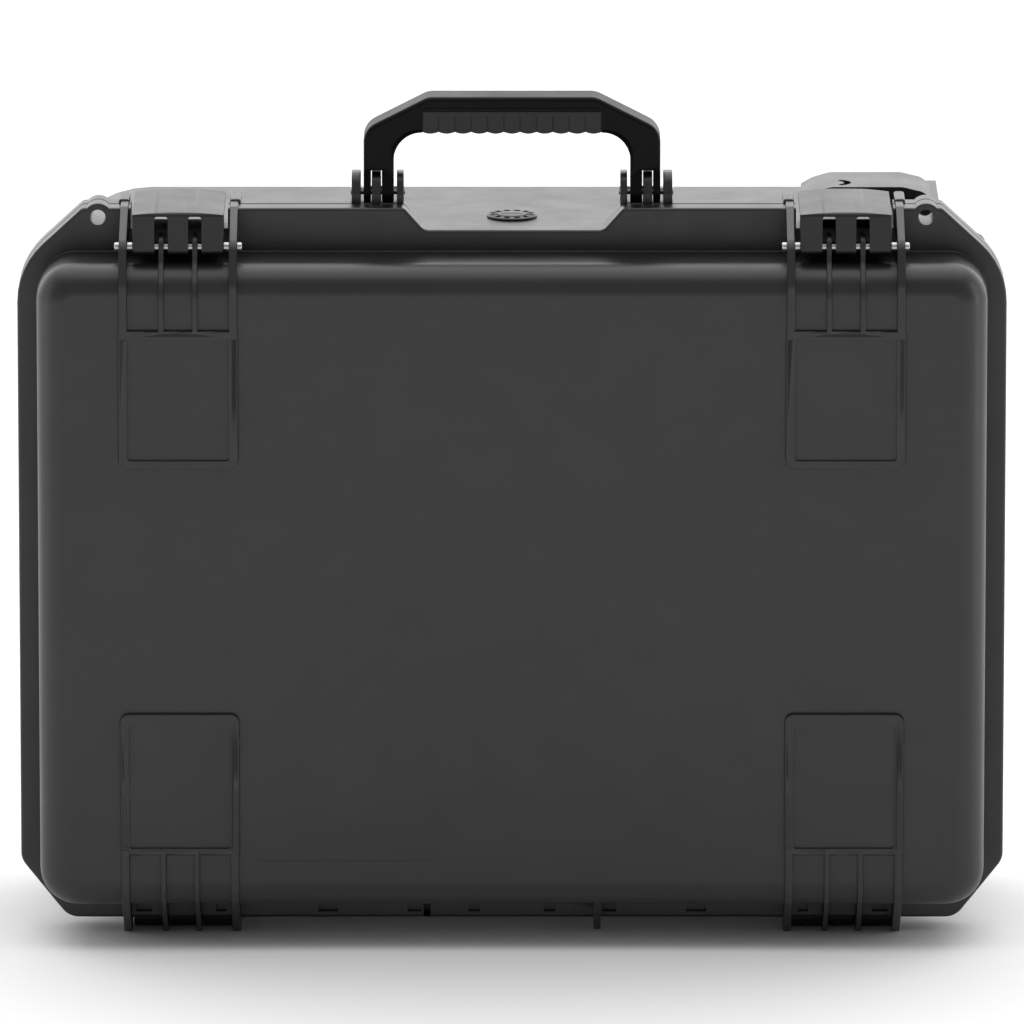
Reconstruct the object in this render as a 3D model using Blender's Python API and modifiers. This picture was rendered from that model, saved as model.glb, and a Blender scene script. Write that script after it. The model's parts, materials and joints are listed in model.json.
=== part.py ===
"""Hard protective tool case with a lift-out tray, standing on its hinge side.

X runs across the case, -Y points out of the lid, +Z is up.  The origin is on the surface that
the case stands on, at the middle of its width and depth.  Lengths are in metres.
"""
import math

import bmesh
import bpy
from mathutils import Matrix, Vector

# ---- Driving dimensions ----
CASE_WIDTH = 0.560
CASE_DEPTH = 0.215
FLANGE_LOW = 0.008
FLANGE_HIGH = 0.420
SEAM_Y = -0.0425
WALL = 0.0035
FIT = 0.0003                    # gap between pieces that touch
MID_Z = (FLANGE_LOW + FLANGE_HIGH) / 2

HALF_WIDTH = CASE_WIDTH / 2
FRONT_Y = -CASE_DEPTH / 2
REAR_Y = CASE_DEPTH / 2

# Flanges: the rims of the lid and of the base, which meet at the seam
FLANGE_THICK = 0.014
TOP_CHAMFER = (0.0371, 0.0342)
TOP_BEND = 0.045              # radius where the top chamfer runs into the side
BOTTOM_CHAMFER = (0.027, 0.034)
FRONT_DIP = (-0.061, 0.063, 0.0113)     # left end, right end and depth of the dip under the handle

# Lid dome and base tub
DOME_HALF = 0.2680
DOME_LOW = 0.0240
DOME_HIGH = 0.3950
LID_FACE_Y = SEAM_Y - 0.062
DOME_CORNER = 0.0216
DOME_FILLET = 0.017
BASE_HALF = 0.2666
BASE_LOW = 0.0214
BASE_HIGH = 0.4066
BASE_REAR_Y = 0.1035
BASE_CORNER = 0.060
BASE_FILLET = 0.025

EAR_CENTRE = (0.234, 0.4147)            # padlock ears on the top of both flanges
EAR_RADIUS = 0.0080
EAR_HOLE = 0.0044
LABEL = (-0.148, 0.0525, -0.0436, 0.1234, 0.0006)      # x, z, x, z and depth of a recess
RIM_SLOTS = ((0.1050, 0.0114), (0.0555, 0.0080), (0.0215, 0.0065))     # offset and half width

# Seal that the rim of the base presses on
SEAL_DEPTH = 0.0030

# Latches and hinge stations, which share their places across the case
STATIONS = {"left": -0.1880, "right": 0.1880}
LATCH_HALF = 0.02575
LATCH_TOP = 0.424
LATCH_PLATE = 0.0037
LATCH_CROWN = 0.0014          # how far the sides of a lever lie below its middle
LATCH_BOW = 0.0035            # how far its rear edge bows back
LATCH_FRONT_Y = SEAM_Y - 0.049
LATCH_REAR_Y = SEAM_Y + 0.026
LATCH_PIVOT = (SEAM_Y - 0.043, 0.4035)
LATCH_PIN_RADIUS = 0.0025
CATCH_Z = 0.4085
HOOK_PIVOT = (-0.0245, 0.4168)
HOOK_PIN_RADIUS = 0.0012
HOOK_REACH = 0.0078        # from the hook's pin to its toe, which clears the catch as it swings
HOOK_TOE = 0.0060
HOOK_ARM = 0.0030
HOOK_NECK = 0.0036
OUTER_RIB = (0.0310, 0.0046)    # offset from the station and thickness
INNER_RIB = (0.0095, 0.0030)
PAD_HALF = 0.0338
PAD_RIM = 0.0045
PAD_SINK = 0.0022
LATCH_ZONE = 0.0275             # half width of the gap that the rims leave for a latch

# Hinge
HINGE_AXIS = (SEAM_Y, 0.0070)
KNUCKLE_RADIUS = 0.0070
HINGE_PIN_RADIUS = 0.0022

# Carry handle
HANDLE_PIVOT = (-0.0275, 0.4250)
HANDLE_HALF = 0.0840
HANDLE_LEG = 0.0170
HANDLE_TOP = 0.4805
HANDLE_THICK = 0.0250
GRIP_LOW = 0.4595
GRIP_HIGH = 0.4723
GRIP_HALF = 0.0508
INNER_Z = 0.4600              # underside of the bow beside the grip
INNER_BEND = 0.0160
HANDLE_PIN_RADIUS = 0.0025
FORK_END = 0.0095               # radius of the round ends of the legs
FORK_SLOT = (0.0737, 0.0800)    # the slot in each leg that the middle lug fills
HANDLE_LUGS = ((0.0613, 0.0652), (0.0743, 0.0794), (0.0857, 0.0908))

# Pressure valve
VALVE_Y = SEAM_Y + 0.031
VALVE_RADIUS = 0.01425

# Wheels, at the rear of the right end
WHEEL_CENTRE = (0.2380, 0.0735)
WHEEL_RADIUS = 0.0340
WHEEL_HALF = 0.0110
WHEEL_Z = {"upper": 0.3680, "lower": 2 * MID_Z - 0.3680}
HUB_RADIUS = 0.0245
AXLE_RADIUS = 0.0030
COVER_X = (0.1660, 0.2400)
COVER_Y = (0.0420, 0.0890)
COVER_RISE = 0.0070
COVER_PLUG = (0.2012, 0.0375, 0.2440, 0.0990)           # x, y, x, y of the part inside the well
WELL_GAP = 0.0025
WELL_WALL = 0.0060

# Trolley handle, which slides out of the left end
TUBE_OFFSET = 0.055
TUBE_Y = 0.0925
TUBE_OUTER = 0.0085
TUBE_INNER = 0.0068
ROD_RADIUS = 0.0060
TUBE_START = -0.2340
TUBE_END = 0.1650
CHANNEL = (-0.2400, 0.1720, 0.0720, 0.0820)     # x from and to, half height, front y
GRIP_WELL = (-0.2400, 0.0880, 0.0660)           # inner x, half height, front y

# Tray
TRAY_HALF = 0.2545
TRAY_LOW = 0.0360
TRAY_HIGH = 0.3840
TRAY_FRONT_Y = SEAM_Y + 0.0030
TRAY_FLOOR_Y = 0.0050
TRAY_WALL = 0.0025

BLACK = (0.016, 0.016, 0.017)
RUBBER_BLACK = (0.010, 0.010, 0.010)
TRAY_GREY = (0.055, 0.057, 0.060)
STEEL = (0.55, 0.55, 0.56)


# ---- Scene and materials ----
def clear_scene():
    """Remove every object of the startup scene."""
    for old in list(bpy.data.objects):
        bpy.data.objects.remove(old, do_unlink=True)


def new_collection(name):
    collection = bpy.data.collections.new(name)
    bpy.context.scene.collection.children.link(collection)
    return collection


clear_scene()
CASE = new_collection("tool_case")
CUTTERS = new_collection("cutters")


def material(name, colour, roughness, metallic=0.0):
    made = bpy.data.materials.new(name)
    made.use_nodes = True
    shader = made.node_tree.nodes["Principled BSDF"]
    shader.inputs["Base Color"].default_value = (*colour, 1.0)
    shader.inputs["Roughness"].default_value = roughness
    shader.inputs["Metallic"].default_value = metallic
    return made


def plastic(name, colour=BLACK, roughness=0.5):
    return material(name, colour, roughness)


def steel(name):
    return material(name, STEEL, 0.3, 1.0)


# ---- Shape helpers: each adds closed bodies to a bmesh ----
def add_box(bm, low, high, bevel=0.0, segments=2):
    """Add a box between two corners, with all its edges rounded where bevel is given."""
    size = Vector(high) - Vector(low)
    centre = (Vector(high) + Vector(low)) / 2
    place = Matrix.Translation(centre) @ Matrix.Diagonal((*size, 1.0))
    verts = bmesh.ops.create_cube(bm, size=1.0, matrix=place)["verts"]
    if bevel:
        edges = {edge for vert in verts for edge in vert.link_edges}
        bmesh.ops.bevel(bm, geom=list(edges), offset=bevel, segments=segments,
                        profile=0.5, affect="EDGES")


AXIS_TURN = {
    "X": Matrix.Rotation(math.pi / 2, 4, "Y"),
    "Y": Matrix.Rotation(-math.pi / 2, 4, "X"),
    "Z": Matrix.Identity(4),
}


def add_cylinder(bm, centre, axis, radius, length, sides=14):
    """Add a round bar along one axis, centred on a point."""
    place = Matrix.Translation(centre) @ AXIS_TURN[axis]
    bmesh.ops.create_cone(bm, cap_ends=True, segments=sides, radius1=radius,
                          radius2=radius, depth=length, matrix=place)


def add_pan(bm, half, z_low, z_high, y_open, y_closed, corner, fillet, steps=4):
    """Add a rounded block: its corners along Y are round, and so is the edge at y_closed."""
    low_y, high_y = sorted((y_open, y_closed))
    size = Vector((2 * half, high_y - low_y, z_high - z_low))
    centre = Vector((0, (low_y + high_y) / 2, (z_low + z_high) / 2))
    block = bmesh.new()
    bmesh.ops.create_cube(block, size=1.0,
                          matrix=Matrix.Translation(centre) @ Matrix.Diagonal((*size, 1.0)))
    along_y = [edge for edge in block.edges
               if abs(edge.verts[0].co.y - edge.verts[1].co.y) > size.y / 2]
    bmesh.ops.bevel(block, geom=along_y, offset=corner, segments=steps,
                    profile=0.5, affect="EDGES")
    if fillet:
        rim = [edge for edge in block.edges
               if all(abs(vert.co.y - y_closed) < FIT for vert in edge.verts)]
        bmesh.ops.bevel(block, geom=rim, offset=fillet, segments=steps,
                        profile=0.5, affect="EDGES")
    bmesh.ops.recalc_face_normals(block, faces=block.faces)
    add_bmesh(bm, block)


def add_bmesh(bm, other):
    """Copy another bmesh's faces into this one and free it."""
    carrier = bpy.data.meshes.new("carrier")
    other.to_mesh(carrier)
    other.free()
    bm.from_mesh(carrier)
    bpy.data.meshes.remove(carrier)


OUTLINE_FRAME = {       # columns: where the outline's two directions and its thickness point
    "X": Matrix(((0, 0, 1, 0), (1, 0, 0, 0), (0, 1, 0, 0), (0, 0, 0, 1))),
    "Y": Matrix(((1, 0, 0, 0), (0, 0, -1, 0), (0, 1, 0, 0), (0, 0, 0, 1))),
    "Z": Matrix.Identity(4),
}
OUTLINE_OFFSET = {"X": Vector((1, 0, 0)), "Y": Vector((0, 1, 0)), "Z": Vector((0, 0, 1))}


def add_outline(bm, points, axis, low, high, bevel=0.0, segments=2):
    """Add a flat closed outline as a solid between low and high along an axis."""
    curve = bpy.data.curves.new("outline", "CURVE")
    curve.dimensions = "2D"
    curve.fill_mode = "BOTH"
    curve.extrude = (high - low) / 2
    spline = curve.splines.new("POLY")
    spline.points.add(len(points) - 1)
    for target, (u, v) in zip(spline.points, points):
        target.co = (u, v, 0, 1)
    spline.use_cyclic_u = True
    guide = bpy.data.objects.new("outline", curve)
    bpy.context.scene.collection.objects.link(guide)
    depsgraph = bpy.context.evaluated_depsgraph_get()
    mesh = bpy.data.meshes.new_from_object(guide.evaluated_get(depsgraph))
    bpy.data.objects.remove(guide, do_unlink=True)
    bpy.data.curves.remove(curve)
    solid = bmesh.new()
    solid.from_mesh(mesh)
    bpy.data.meshes.remove(mesh)
    bmesh.ops.remove_doubles(solid, verts=solid.verts, dist=1e-6)
    bmesh.ops.dissolve_limit(solid, angle_limit=math.radians(0.5), verts=solid.verts,
                             edges=solid.edges)
    place = Matrix.Translation(OUTLINE_OFFSET[axis] * (low + high) / 2) @ OUTLINE_FRAME[axis]
    bmesh.ops.transform(solid, matrix=place, verts=solid.verts)
    bmesh.ops.recalc_face_normals(solid, faces=solid.faces)
    if bevel:
        sharp = [edge for edge in solid.edges if edge.calc_face_angle(0) > math.radians(40)]
        bmesh.ops.bevel(solid, geom=sharp, offset=bevel, segments=segments,
                        profile=0.5, affect="EDGES", clamp_overlap=True)
    add_bmesh(bm, solid)


def rounded(corners, steps=2):
    """Round each corner (u, v, radius) of a polygon with an arc of a few straight steps."""
    points = []
    count = len(corners)
    for index, (u, v, radius) in enumerate(corners):
        here = Vector((u, v))
        before = (Vector(corners[index - 1][:2]) - here).normalized()
        after = (Vector(corners[(index + 1) % count][:2]) - here).normalized()
        if radius <= 0:
            points.append((u, v))
            continue
        half_angle = before.angle(after) / 2
        middle = here + (before + after).normalized() * radius / math.sin(half_angle)
        reach = radius / math.tan(half_angle)
        start = here + before * reach - middle
        sweep = start.angle_signed(here + after * reach - middle)
        for step in range(steps + 1):
            turn = Matrix.Rotation(-sweep * step / steps, 2)
            points.append(tuple(middle + turn @ start))
    return points


# ---- Object helpers ----
def finish_mesh(bm, name, collection, origin=(0, 0, 0)):
    """Turn a bmesh into an object whose origin is at a chosen point."""
    mesh = bpy.data.meshes.new(name)
    bmesh.ops.translate(bm, vec=-Vector(origin), verts=bm.verts)
    bm.to_mesh(mesh)
    bm.free()
    made = bpy.data.objects.new(name, mesh)
    made.location = origin
    collection.objects.link(made)
    return made


def piece(name, bm, look, origin=(0, 0, 0), smooth=True):
    """Make one named sub-part of the case."""
    made = finish_mesh(bm, name, CASE, origin)
    made.data.materials.append(look)
    if smooth:
        made.data.shade_smooth()
        made.data.set_sharp_from_angle(angle=math.radians(35))
    return made


def change(target, bm, name, operation, crossing):
    """Join a helper shape to a piece, or cut it away, with a Boolean modifier.

    The bodies inside one helper shape may cross each other where crossing is true.
    """
    tool = finish_mesh(bm, name, CUTTERS)
    tool.hide_render = True
    tool.display_type = "WIRE"
    modifier = target.modifiers.new(name, "BOOLEAN")
    modifier.operation = operation
    modifier.object = tool
    modifier.use_self = crossing
    return tool


def join(target, bm, name, crossing=False):
    return change(target, bm, name, "UNION", crossing)


def cut(target, bm, name, crossing=False):
    return change(target, bm, name, "DIFFERENCE", crossing)


# ---- Outlines shared by the two shells ----
def flange_outline(dip_z):
    """The rim seen from the front: chamfered, rounded corners and a dip under the handle."""
    left, right, depth = FRONT_DIP
    top_x = HALF_WIDTH - TOP_CHAMFER[0]
    top_z = FLANGE_HIGH - TOP_CHAMFER[1]
    low_x = HALF_WIDTH - BOTTOM_CHAMFER[0]
    low_z = FLANGE_LOW + BOTTOM_CHAMFER[1]
    return rounded([
        (-top_x, FLANGE_HIGH, 0.004), (left, FLANGE_HIGH, 0.004),
        (left + depth, dip_z, 0.006), (right - depth, dip_z, 0.006),
        (right, FLANGE_HIGH, 0.004), (top_x, FLANGE_HIGH, 0.004),
        (HALF_WIDTH, top_z, TOP_BEND), (HALF_WIDTH, low_z, 0.012),
        (low_x, FLANGE_LOW, 0.012), (-low_x, FLANGE_LOW, 0.012),
        (-HALF_WIDTH, low_z, 0.012), (-HALF_WIDTH, top_z, TOP_BEND),
    ])


def add_ears(bm, low_y, high_y):
    """Add the two round padlock ears at the top corners of a flange."""
    for side in (-1, 1):
        add_cylinder(bm, (side * EAR_CENTRE[0], (low_y + high_y) / 2, EAR_CENTRE[1]), "Y",
                     EAR_RADIUS, high_y - low_y, sides=20)


def add_ear_holes(bm):
    for side in (-1, 1):
        add_cylinder(bm, (side * EAR_CENTRE[0], SEAM_Y, EAR_CENTRE[1]), "Y", EAR_HOLE, 0.08)


def add_hinge_cylinders(bm, spans, radius):
    """Add round bars on the hinge axis at every station, one for each (from, to) offset."""
    for station in STATIONS.values():
        for start, end in spans:
            add_cylinder(bm, (station + (start + end) / 2, *HINGE_AXIS), "X", radius,
                         end - start)


def rib_spans(extra=0.0):
    """Where the four ribs of a station run along X, as offsets from its middle."""
    spans = []
    for offset, thick in (OUTER_RIB, INNER_RIB):
        for side in (-1, 1):
            spans.append((side * offset - thick / 2 - extra, side * offset + thick / 2 + extra))
    return spans


def base_knuckle_spans(extra=0.0):
    """Where the knuckles of the base run, between the ribs of the lid."""
    gap = 2 * FIT - extra
    inner_edge = INNER_RIB[0] - INNER_RIB[1] / 2 - gap
    outer_start = INNER_RIB[0] + INNER_RIB[1] / 2 + gap
    outer_end = OUTER_RIB[0] - OUTER_RIB[1] / 2 - gap
    return [(-outer_end, -outer_start), (-inner_edge, inner_edge), (outer_start, outer_end)]


# ---- Lid ----
def make_lid():
    """The lid: a domed shell on a flange, with latch ribs, hinge ribs and four framed pads."""
    front = SEAM_Y - FLANGE_THICK
    bm = bmesh.new()
    add_outline(bm, flange_outline(BASE_HIGH + 0.0024), "Y", front, SEAM_Y, bevel=0.001,
                segments=1)
    lid = piece("lid_shell", bm, plastic("lid_plastic"))
    bm = bmesh.new()
    add_pan(bm, DOME_HALF, DOME_LOW, DOME_HIGH, SEAM_Y - 0.002, LID_FACE_Y,
            DOME_CORNER, DOME_FILLET)
    join(lid, bm, "lid_dome")
    bm = bmesh.new()
    add_ears(bm, front, SEAM_Y)
    join(lid, bm, "lid_ears")
    bm = bmesh.new()
    add_lid_ribs(bm)
    join(lid, bm, "lid_ribs", crossing=True)
    bm = bmesh.new()
    hollow = 0.0030
    add_pan(bm, DOME_HALF - 0.0095, DOME_LOW + 0.007, DOME_HIGH - 0.007, SEAM_Y + 0.01,
            LID_FACE_Y + hollow, DOME_CORNER - hollow, DOME_FILLET - hollow)
    cut(lid, bm, "lid_hollow")
    cut_seal_groove(lid)
    bm = bmesh.new()
    add_lid_cuts(bm)
    cut(lid, bm, "lid_cuts", crossing=True)
    bm = bmesh.new()
    add_rib_holes(bm)
    cut(lid, bm, "lid_pin_holes")
    return lid


def outer_latch_rib():
    """Side view of a rib beside a latch: up the face and back over the rim to the seam."""
    pivot_y, pivot_z = LATCH_PIVOT
    return rounded([
        (LID_FACE_Y + 0.004, 0.3545, 0), (FRONT_Y, 0.3545, 0), (FRONT_Y, 0.3860, 0.012),
        (pivot_y - 0.0105, pivot_z + 0.0040, 0.012), (SEAM_Y - 0.0160, 0.4215, 0.008),
        (SEAM_Y - FIT, 0.4215, 0.001), (SEAM_Y - FIT, DOME_HIGH - 0.003, 0),
    ])


def inner_latch_rib():
    """Side view of a rib inside a latch's slot, which ends in an eye around the pin."""
    pivot_y, pivot_z = LATCH_PIVOT
    eye = 0.0078
    return rounded([
        (LID_FACE_Y + 0.004, 0.3600, 0), (FRONT_Y, 0.3600, 0), (FRONT_Y, 0.3850, 0.010),
        (pivot_y - eye, pivot_z - 0.004, 0.004), (pivot_y - eye, pivot_z + eye, eye),
        (pivot_y + eye, pivot_z + eye, eye), (pivot_y + eye, DOME_HIGH - 0.003, 0),
    ])


def add_lid_ribs(bm):
    """Latch ribs above, hinge ribs below, and the frames of the pads between them."""
    for station in STATIONS.values():
        for offset, thick in (OUTER_RIB, INNER_RIB):
            is_outer = offset == OUTER_RIB[0]
            latch_rib = outer_latch_rib() if is_outer else inner_latch_rib()
            reach = HINGE_AXIS[0] + (0.004 if is_outer else 0.003)
            hinge_rib = rounded([
                (LID_FACE_Y + 0.004, 0.0590, 0), (FRONT_Y, 0.0590, 0), (FRONT_Y, 0.0300, 0.010),
                (SEAM_Y - 0.0150, 0.0, 0.003), (HINGE_AXIS[0], 0.0, 0),
                (reach, KNUCKLE_RADIUS, 0), (HINGE_AXIS[0], 2 * KNUCKLE_RADIUS, 0),
                (SEAM_Y - 0.006, DOME_LOW + 0.003, 0),
            ])
            for side in (-1, 1):
                middle = station + side * offset
                add_outline(bm, latch_rib, "X", middle - thick / 2, middle + thick / 2)
                add_outline(bm, hinge_rib, "X", middle - thick / 2, middle + thick / 2)
        for start, end in rib_spans():
            add_cylinder(bm, (station + (start + end) / 2, *HINGE_AXIS), "X", KNUCKLE_RADIUS,
                         end - start)
        for low, high in ((0.2800, 0.3592), (0.0562, 0.1384)):
            add_box(bm, (station - PAD_HALF, FRONT_Y, low),
                    (station + PAD_HALF, LID_FACE_Y + 0.001, high), bevel=0.0008, segments=1)
    for side in (-1, 1):
        foot = rounded([
            (LID_FACE_Y + 0.010, 0.0330, 0), (LID_FACE_Y + 0.002, 0.0300, 0.004),
            (SEAM_Y - FLANGE_THICK - 0.0020, 0.0015, 0.003),
            (SEAM_Y - FLANGE_THICK + 0.002, 0.0015, 0),
            (SEAM_Y - FLANGE_THICK + 0.002, 0.0200, 0),
        ])
        add_outline(bm, foot, "X", side * 0.0485 - 0.002, side * 0.0485 + 0.002)


def add_lid_cuts(bm):
    """Pad windows, the latch notch in the rim, hinge clearance, label recess and rim slots."""
    for station in STATIONS.values():
        for low, high in ((0.2845, 0.3547), (0.0602, 0.1324)):
            add_box(bm, (station - PAD_HALF + PAD_RIM, FRONT_Y - 0.01, low),
                    (station + PAD_HALF - PAD_RIM, FRONT_Y + PAD_SINK, high))
        add_box(bm, (station - LATCH_ZONE, SEAM_Y - FLANGE_THICK - 0.001, CATCH_Z),
                (station + LATCH_ZONE, SEAM_Y + 0.01, 0.44))
    add_hinge_cylinders(bm, base_knuckle_spans(2 * FIT), KNUCKLE_RADIUS + FIT)
    low_x, low_z, high_x, high_z, depth = LABEL
    add_box(bm, (low_x, LID_FACE_Y - 0.01, low_z), (high_x, LID_FACE_Y + depth, high_z))
    for middle, width in RIM_SLOTS:
        for side in (-1, 1):
            add_box(bm, (side * middle - width / 2, SEAM_Y - FLANGE_THICK - 0.01, 0.0114),
                    (side * middle + width / 2, SEAM_Y - FLANGE_THICK + 0.005, 0.0161))


def add_rib_holes(bm):
    """Holes for the latch pins and hinge pins, and the padlock holes."""
    add_ear_holes(bm)
    reach = OUTER_RIB[0] + 0.01
    for station in STATIONS.values():
        add_cylinder(bm, (station, *LATCH_PIVOT), "X", LATCH_PIN_RADIUS + FIT, 2 * reach)
        add_cylinder(bm, (station, *HINGE_AXIS), "X", HINGE_PIN_RADIUS + FIT, 2 * reach)


def seal_ring(bm, grow, depth):
    """A frame-shaped ring on the rim of the base, grown by a gap on every side."""
    ring = bmesh.new()
    add_pan(ring, BASE_HALF + grow, BASE_LOW - grow, BASE_HIGH + grow, SEAM_Y - FIT,
            SEAM_Y - FIT - depth, BASE_CORNER + grow, 0)
    add_bmesh(bm, ring)


def make_seal():
    """The rubber seal in its groove in the lid, where the rim of the base presses."""
    bm = bmesh.new()
    seal_ring(bm, 0.0, SEAL_DEPTH)
    seal = piece("lid_seal", bm, material("seal_rubber", RUBBER_BLACK, 0.8))
    bm = bmesh.new()
    add_pan(bm, BASE_HALF - WALL, BASE_LOW + WALL, BASE_HIGH - WALL, SEAM_Y + 0.01,
            SEAM_Y - 0.02, BASE_CORNER - WALL, 0)
    cut(seal, bm, "seal_inside")


def cut_seal_groove(lid):
    """Cut the groove, leaving the inner wall of the lid standing."""
    bm = bmesh.new()
    add_pan(bm, BASE_HALF + FIT, BASE_LOW - FIT, BASE_HIGH + FIT, SEAM_Y + 0.01,
            SEAM_Y - SEAL_DEPTH - 2 * FIT, BASE_CORNER + FIT, 0)
    groove = cut(lid, bm, "seal_groove")
    bm = bmesh.new()
    inset = WALL + FIT
    add_pan(bm, BASE_HALF - inset, BASE_LOW + inset, BASE_HIGH - inset, SEAM_Y + 0.02,
            SEAM_Y - 0.02, BASE_CORNER - inset, 0)
    cut(groove, bm, "groove_inside")


# ---- Base ----
def make_base():
    """The base: a deep tub on a flange, with hinge knuckles, lugs, wheel wells and a channel."""
    rear = SEAM_Y + FLANGE_THICK
    bm = bmesh.new()
    add_outline(bm, flange_outline(BASE_HIGH - 0.0006), "Y", SEAM_Y + FIT, rear, bevel=0.001,
                segments=1)
    base = piece("base_shell", bm, plastic("base_plastic"))
    bm = bmesh.new()
    add_pan(bm, BASE_HALF, BASE_LOW, BASE_HIGH, SEAM_Y + FIT, BASE_REAR_Y, BASE_CORNER,
            BASE_FILLET)
    join(base, bm, "base_tub")
    bm = bmesh.new()
    add_ears(bm, SEAM_Y + FIT, rear)
    join(base, bm, "base_ears")
    bm = bmesh.new()
    add_base_ribs(bm)
    join(base, bm, "base_ribs", crossing=True)
    cut_base_hollow(base)
    bm = bmesh.new()
    add_base_cuts(bm)
    cut(base, bm, "base_cuts", crossing=True)
    bm = bmesh.new()
    add_base_holes(bm)
    cut(base, bm, "base_holes")
    return base


def add_base_ribs(bm):
    """Hinge knuckles and their arms, handle lugs, latch guards, feet and rear runners."""
    for station in STATIONS.values():
        for start, end in base_knuckle_spans():
            low, high = station + start, station + end
            add_cylinder(bm, ((low + high) / 2, *HINGE_AXIS), "X", KNUCKLE_RADIUS, high - low)
            add_outline(bm, [(HINGE_AXIS[0] + FIT, 0.0), (-0.018, 0.0), (0.0, 0.0240),
                             (SEAM_Y + 2 * FIT, 0.0240)], "X", low, high)
        for side in (-1, 1):
            low, high = sorted((station + side * 0.0285, station + side * 0.0345))
            add_box(bm, (low, SEAM_Y + 2 * FIT, 0.4020), (high, LATCH_REAR_Y, 0.4225),
                    bevel=0.0015)
    pivot_y, pivot_z = HANDLE_PIVOT
    lug_radius = 0.0116
    lug = rounded([
        (SEAM_Y + 2 * FIT, BASE_HIGH - 0.002, 0), (SEAM_Y + 2 * FIT, pivot_z, 0.006),
        (pivot_y - lug_radius, pivot_z + lug_radius, 0.009),
        (pivot_y + lug_radius, pivot_z + lug_radius, 0.011),
        (pivot_y + lug_radius, BASE_HIGH - 0.002, 0),
    ])
    for side in (-1, 1):
        for start, end in HANDLE_LUGS:
            low, high = sorted((side * start, side * end))
            add_outline(bm, lug, "X", low, high)
    for middle in (-0.2225, -0.1585, 0.1275, 0.1585):
        foot = rounded([(0.045, 0.0240, 0), (0.052, 0.0, 0.004), (0.086, 0.0, 0.006),
                        (0.098, 0.0400, 0.01), (0.080, 0.0400, 0)])
        add_outline(bm, foot, "X", middle - 0.003, middle + 0.003)
    for middle in (MID_Z - 0.100, MID_Z + 0.100):
        add_box(bm, (-0.225, BASE_REAR_Y - 0.002, middle - 0.004), (0.185, REAR_Y, middle + 0.004),
                bevel=0.0015)


def wheel_side(name):
    """+1 for the upper wheel and -1 for the lower one."""
    return 1 if name == "upper" else -1


def well_span(name, from_wheel, to_outside):
    """Z range of a box at a wheel, from a distance inside it to a distance outside it."""
    side = wheel_side(name)
    return sorted((WHEEL_Z[name] - side * (WHEEL_HALF + from_wheel),
                   WHEEL_Z[name] + side * (WHEEL_HALF + to_outside)))


def cut_base_hollow(base):
    """Hollow the tub, leaving walls around the wheel wells, the channel and the grip well."""
    bm = bmesh.new()
    add_pan(bm, BASE_HALF - WALL, BASE_LOW + WALL, BASE_HIGH - WALL, SEAM_Y - 0.01,
            BASE_REAR_Y - WALL, BASE_CORNER - WALL, BASE_FILLET - WALL)
    hollow = cut(base, bm, "base_hollow")
    bm = bmesh.new()
    wheel_x, wheel_y = WHEEL_CENTRE
    reach = WHEEL_RADIUS + WELL_GAP + 0.003
    for name in WHEEL_Z:
        low_z, high_z = well_span(name, WELL_GAP + WELL_WALL, 0.06)
        add_box(bm, (wheel_x - reach - 0.003, wheel_y - reach - 0.003, low_z), (0.30, 0.13, high_z))
    start_x, end_x, half, front_y = CHANNEL
    add_box(bm, (start_x - 0.004, front_y - 0.003, MID_Z - half - 0.003),
            (end_x + 0.003, 0.13, MID_Z + half + 0.003))
    inner_x, half, front_y = GRIP_WELL
    add_box(bm, (-0.30, front_y - 0.003, MID_Z - half - 0.003),
            (inner_x + 0.003, 0.13, MID_Z + half + 0.003))
    cut(hollow, bm, "base_inner_walls", crossing=True)
    bm = bmesh.new()
    for x in (-0.2606, 0.2606):
        for z in (0.090, 0.338):
            add_box(bm, (x - 0.003, TRAY_FLOOR_Y + 2 * FIT, z - 0.012),
                    (x + 0.003, TRAY_FLOOR_Y + 0.010, z + 0.012))
    for z in (BASE_LOW + 0.0085, BASE_HIGH - 0.0110):
        for x in (-0.15, 0.15):
            add_box(bm, (x - 0.015, TRAY_FLOOR_Y + 2 * FIT, z - 0.008),
                    (x + 0.015, TRAY_FLOOR_Y + 0.010, z + 0.0105))
    cut(hollow, bm, "tray_ledges")


def add_base_cuts(bm):
    """Wheel wells, trolley channel, grip well, latch catches and handle clearance."""
    wheel_x, wheel_y = WHEEL_CENTRE
    reach = WHEEL_RADIUS + WELL_GAP + 0.003
    for name in WHEEL_Z:
        low_z, high_z = well_span(name, WELL_GAP, WELL_GAP)
        add_box(bm, (wheel_x - reach, wheel_y - reach, low_z), (0.30, 0.13, high_z))
        plug = COVER_PLUG
        low_z, high_z = sorted((WHEEL_Z[name], WHEEL_Z[name] + wheel_side(name) * 0.06))
        add_box(bm, (plug[0] - FIT, plug[1] - FIT, low_z), (plug[2] + FIT, plug[3] + FIT, high_z))
    start_x, end_x, half, front_y = CHANNEL
    add_box(bm, (start_x - 0.005, front_y, MID_Z - half), (end_x, 0.13, MID_Z + half))
    inner_x, half, front_y = GRIP_WELL
    add_box(bm, (-0.30, front_y, MID_Z - half), (inner_x, 0.13, MID_Z + half))
    for station in STATIONS.values():
        add_box(bm, (station - LATCH_ZONE, SEAM_Y - 0.01, CATCH_Z),
                (station + LATCH_ZONE, SEAM_Y + FLANGE_THICK + 0.001, 0.44))
    add_hinge_cylinders(bm, rib_spans(2 * FIT), KNUCKLE_RADIUS + 2 * FIT)
    for side in (-1, 1):
        for start, end in ((HANDLE_HALF - HANDLE_LEG - 2 * FIT, FORK_SLOT[0] + FIT),
                           (FORK_SLOT[1] - FIT, HANDLE_HALF + 2 * FIT)):
            add_cylinder(bm, (side * (start + end) / 2, *HANDLE_PIVOT), "X", FORK_END + 2 * FIT,
                         end - start, sides=24)


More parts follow.
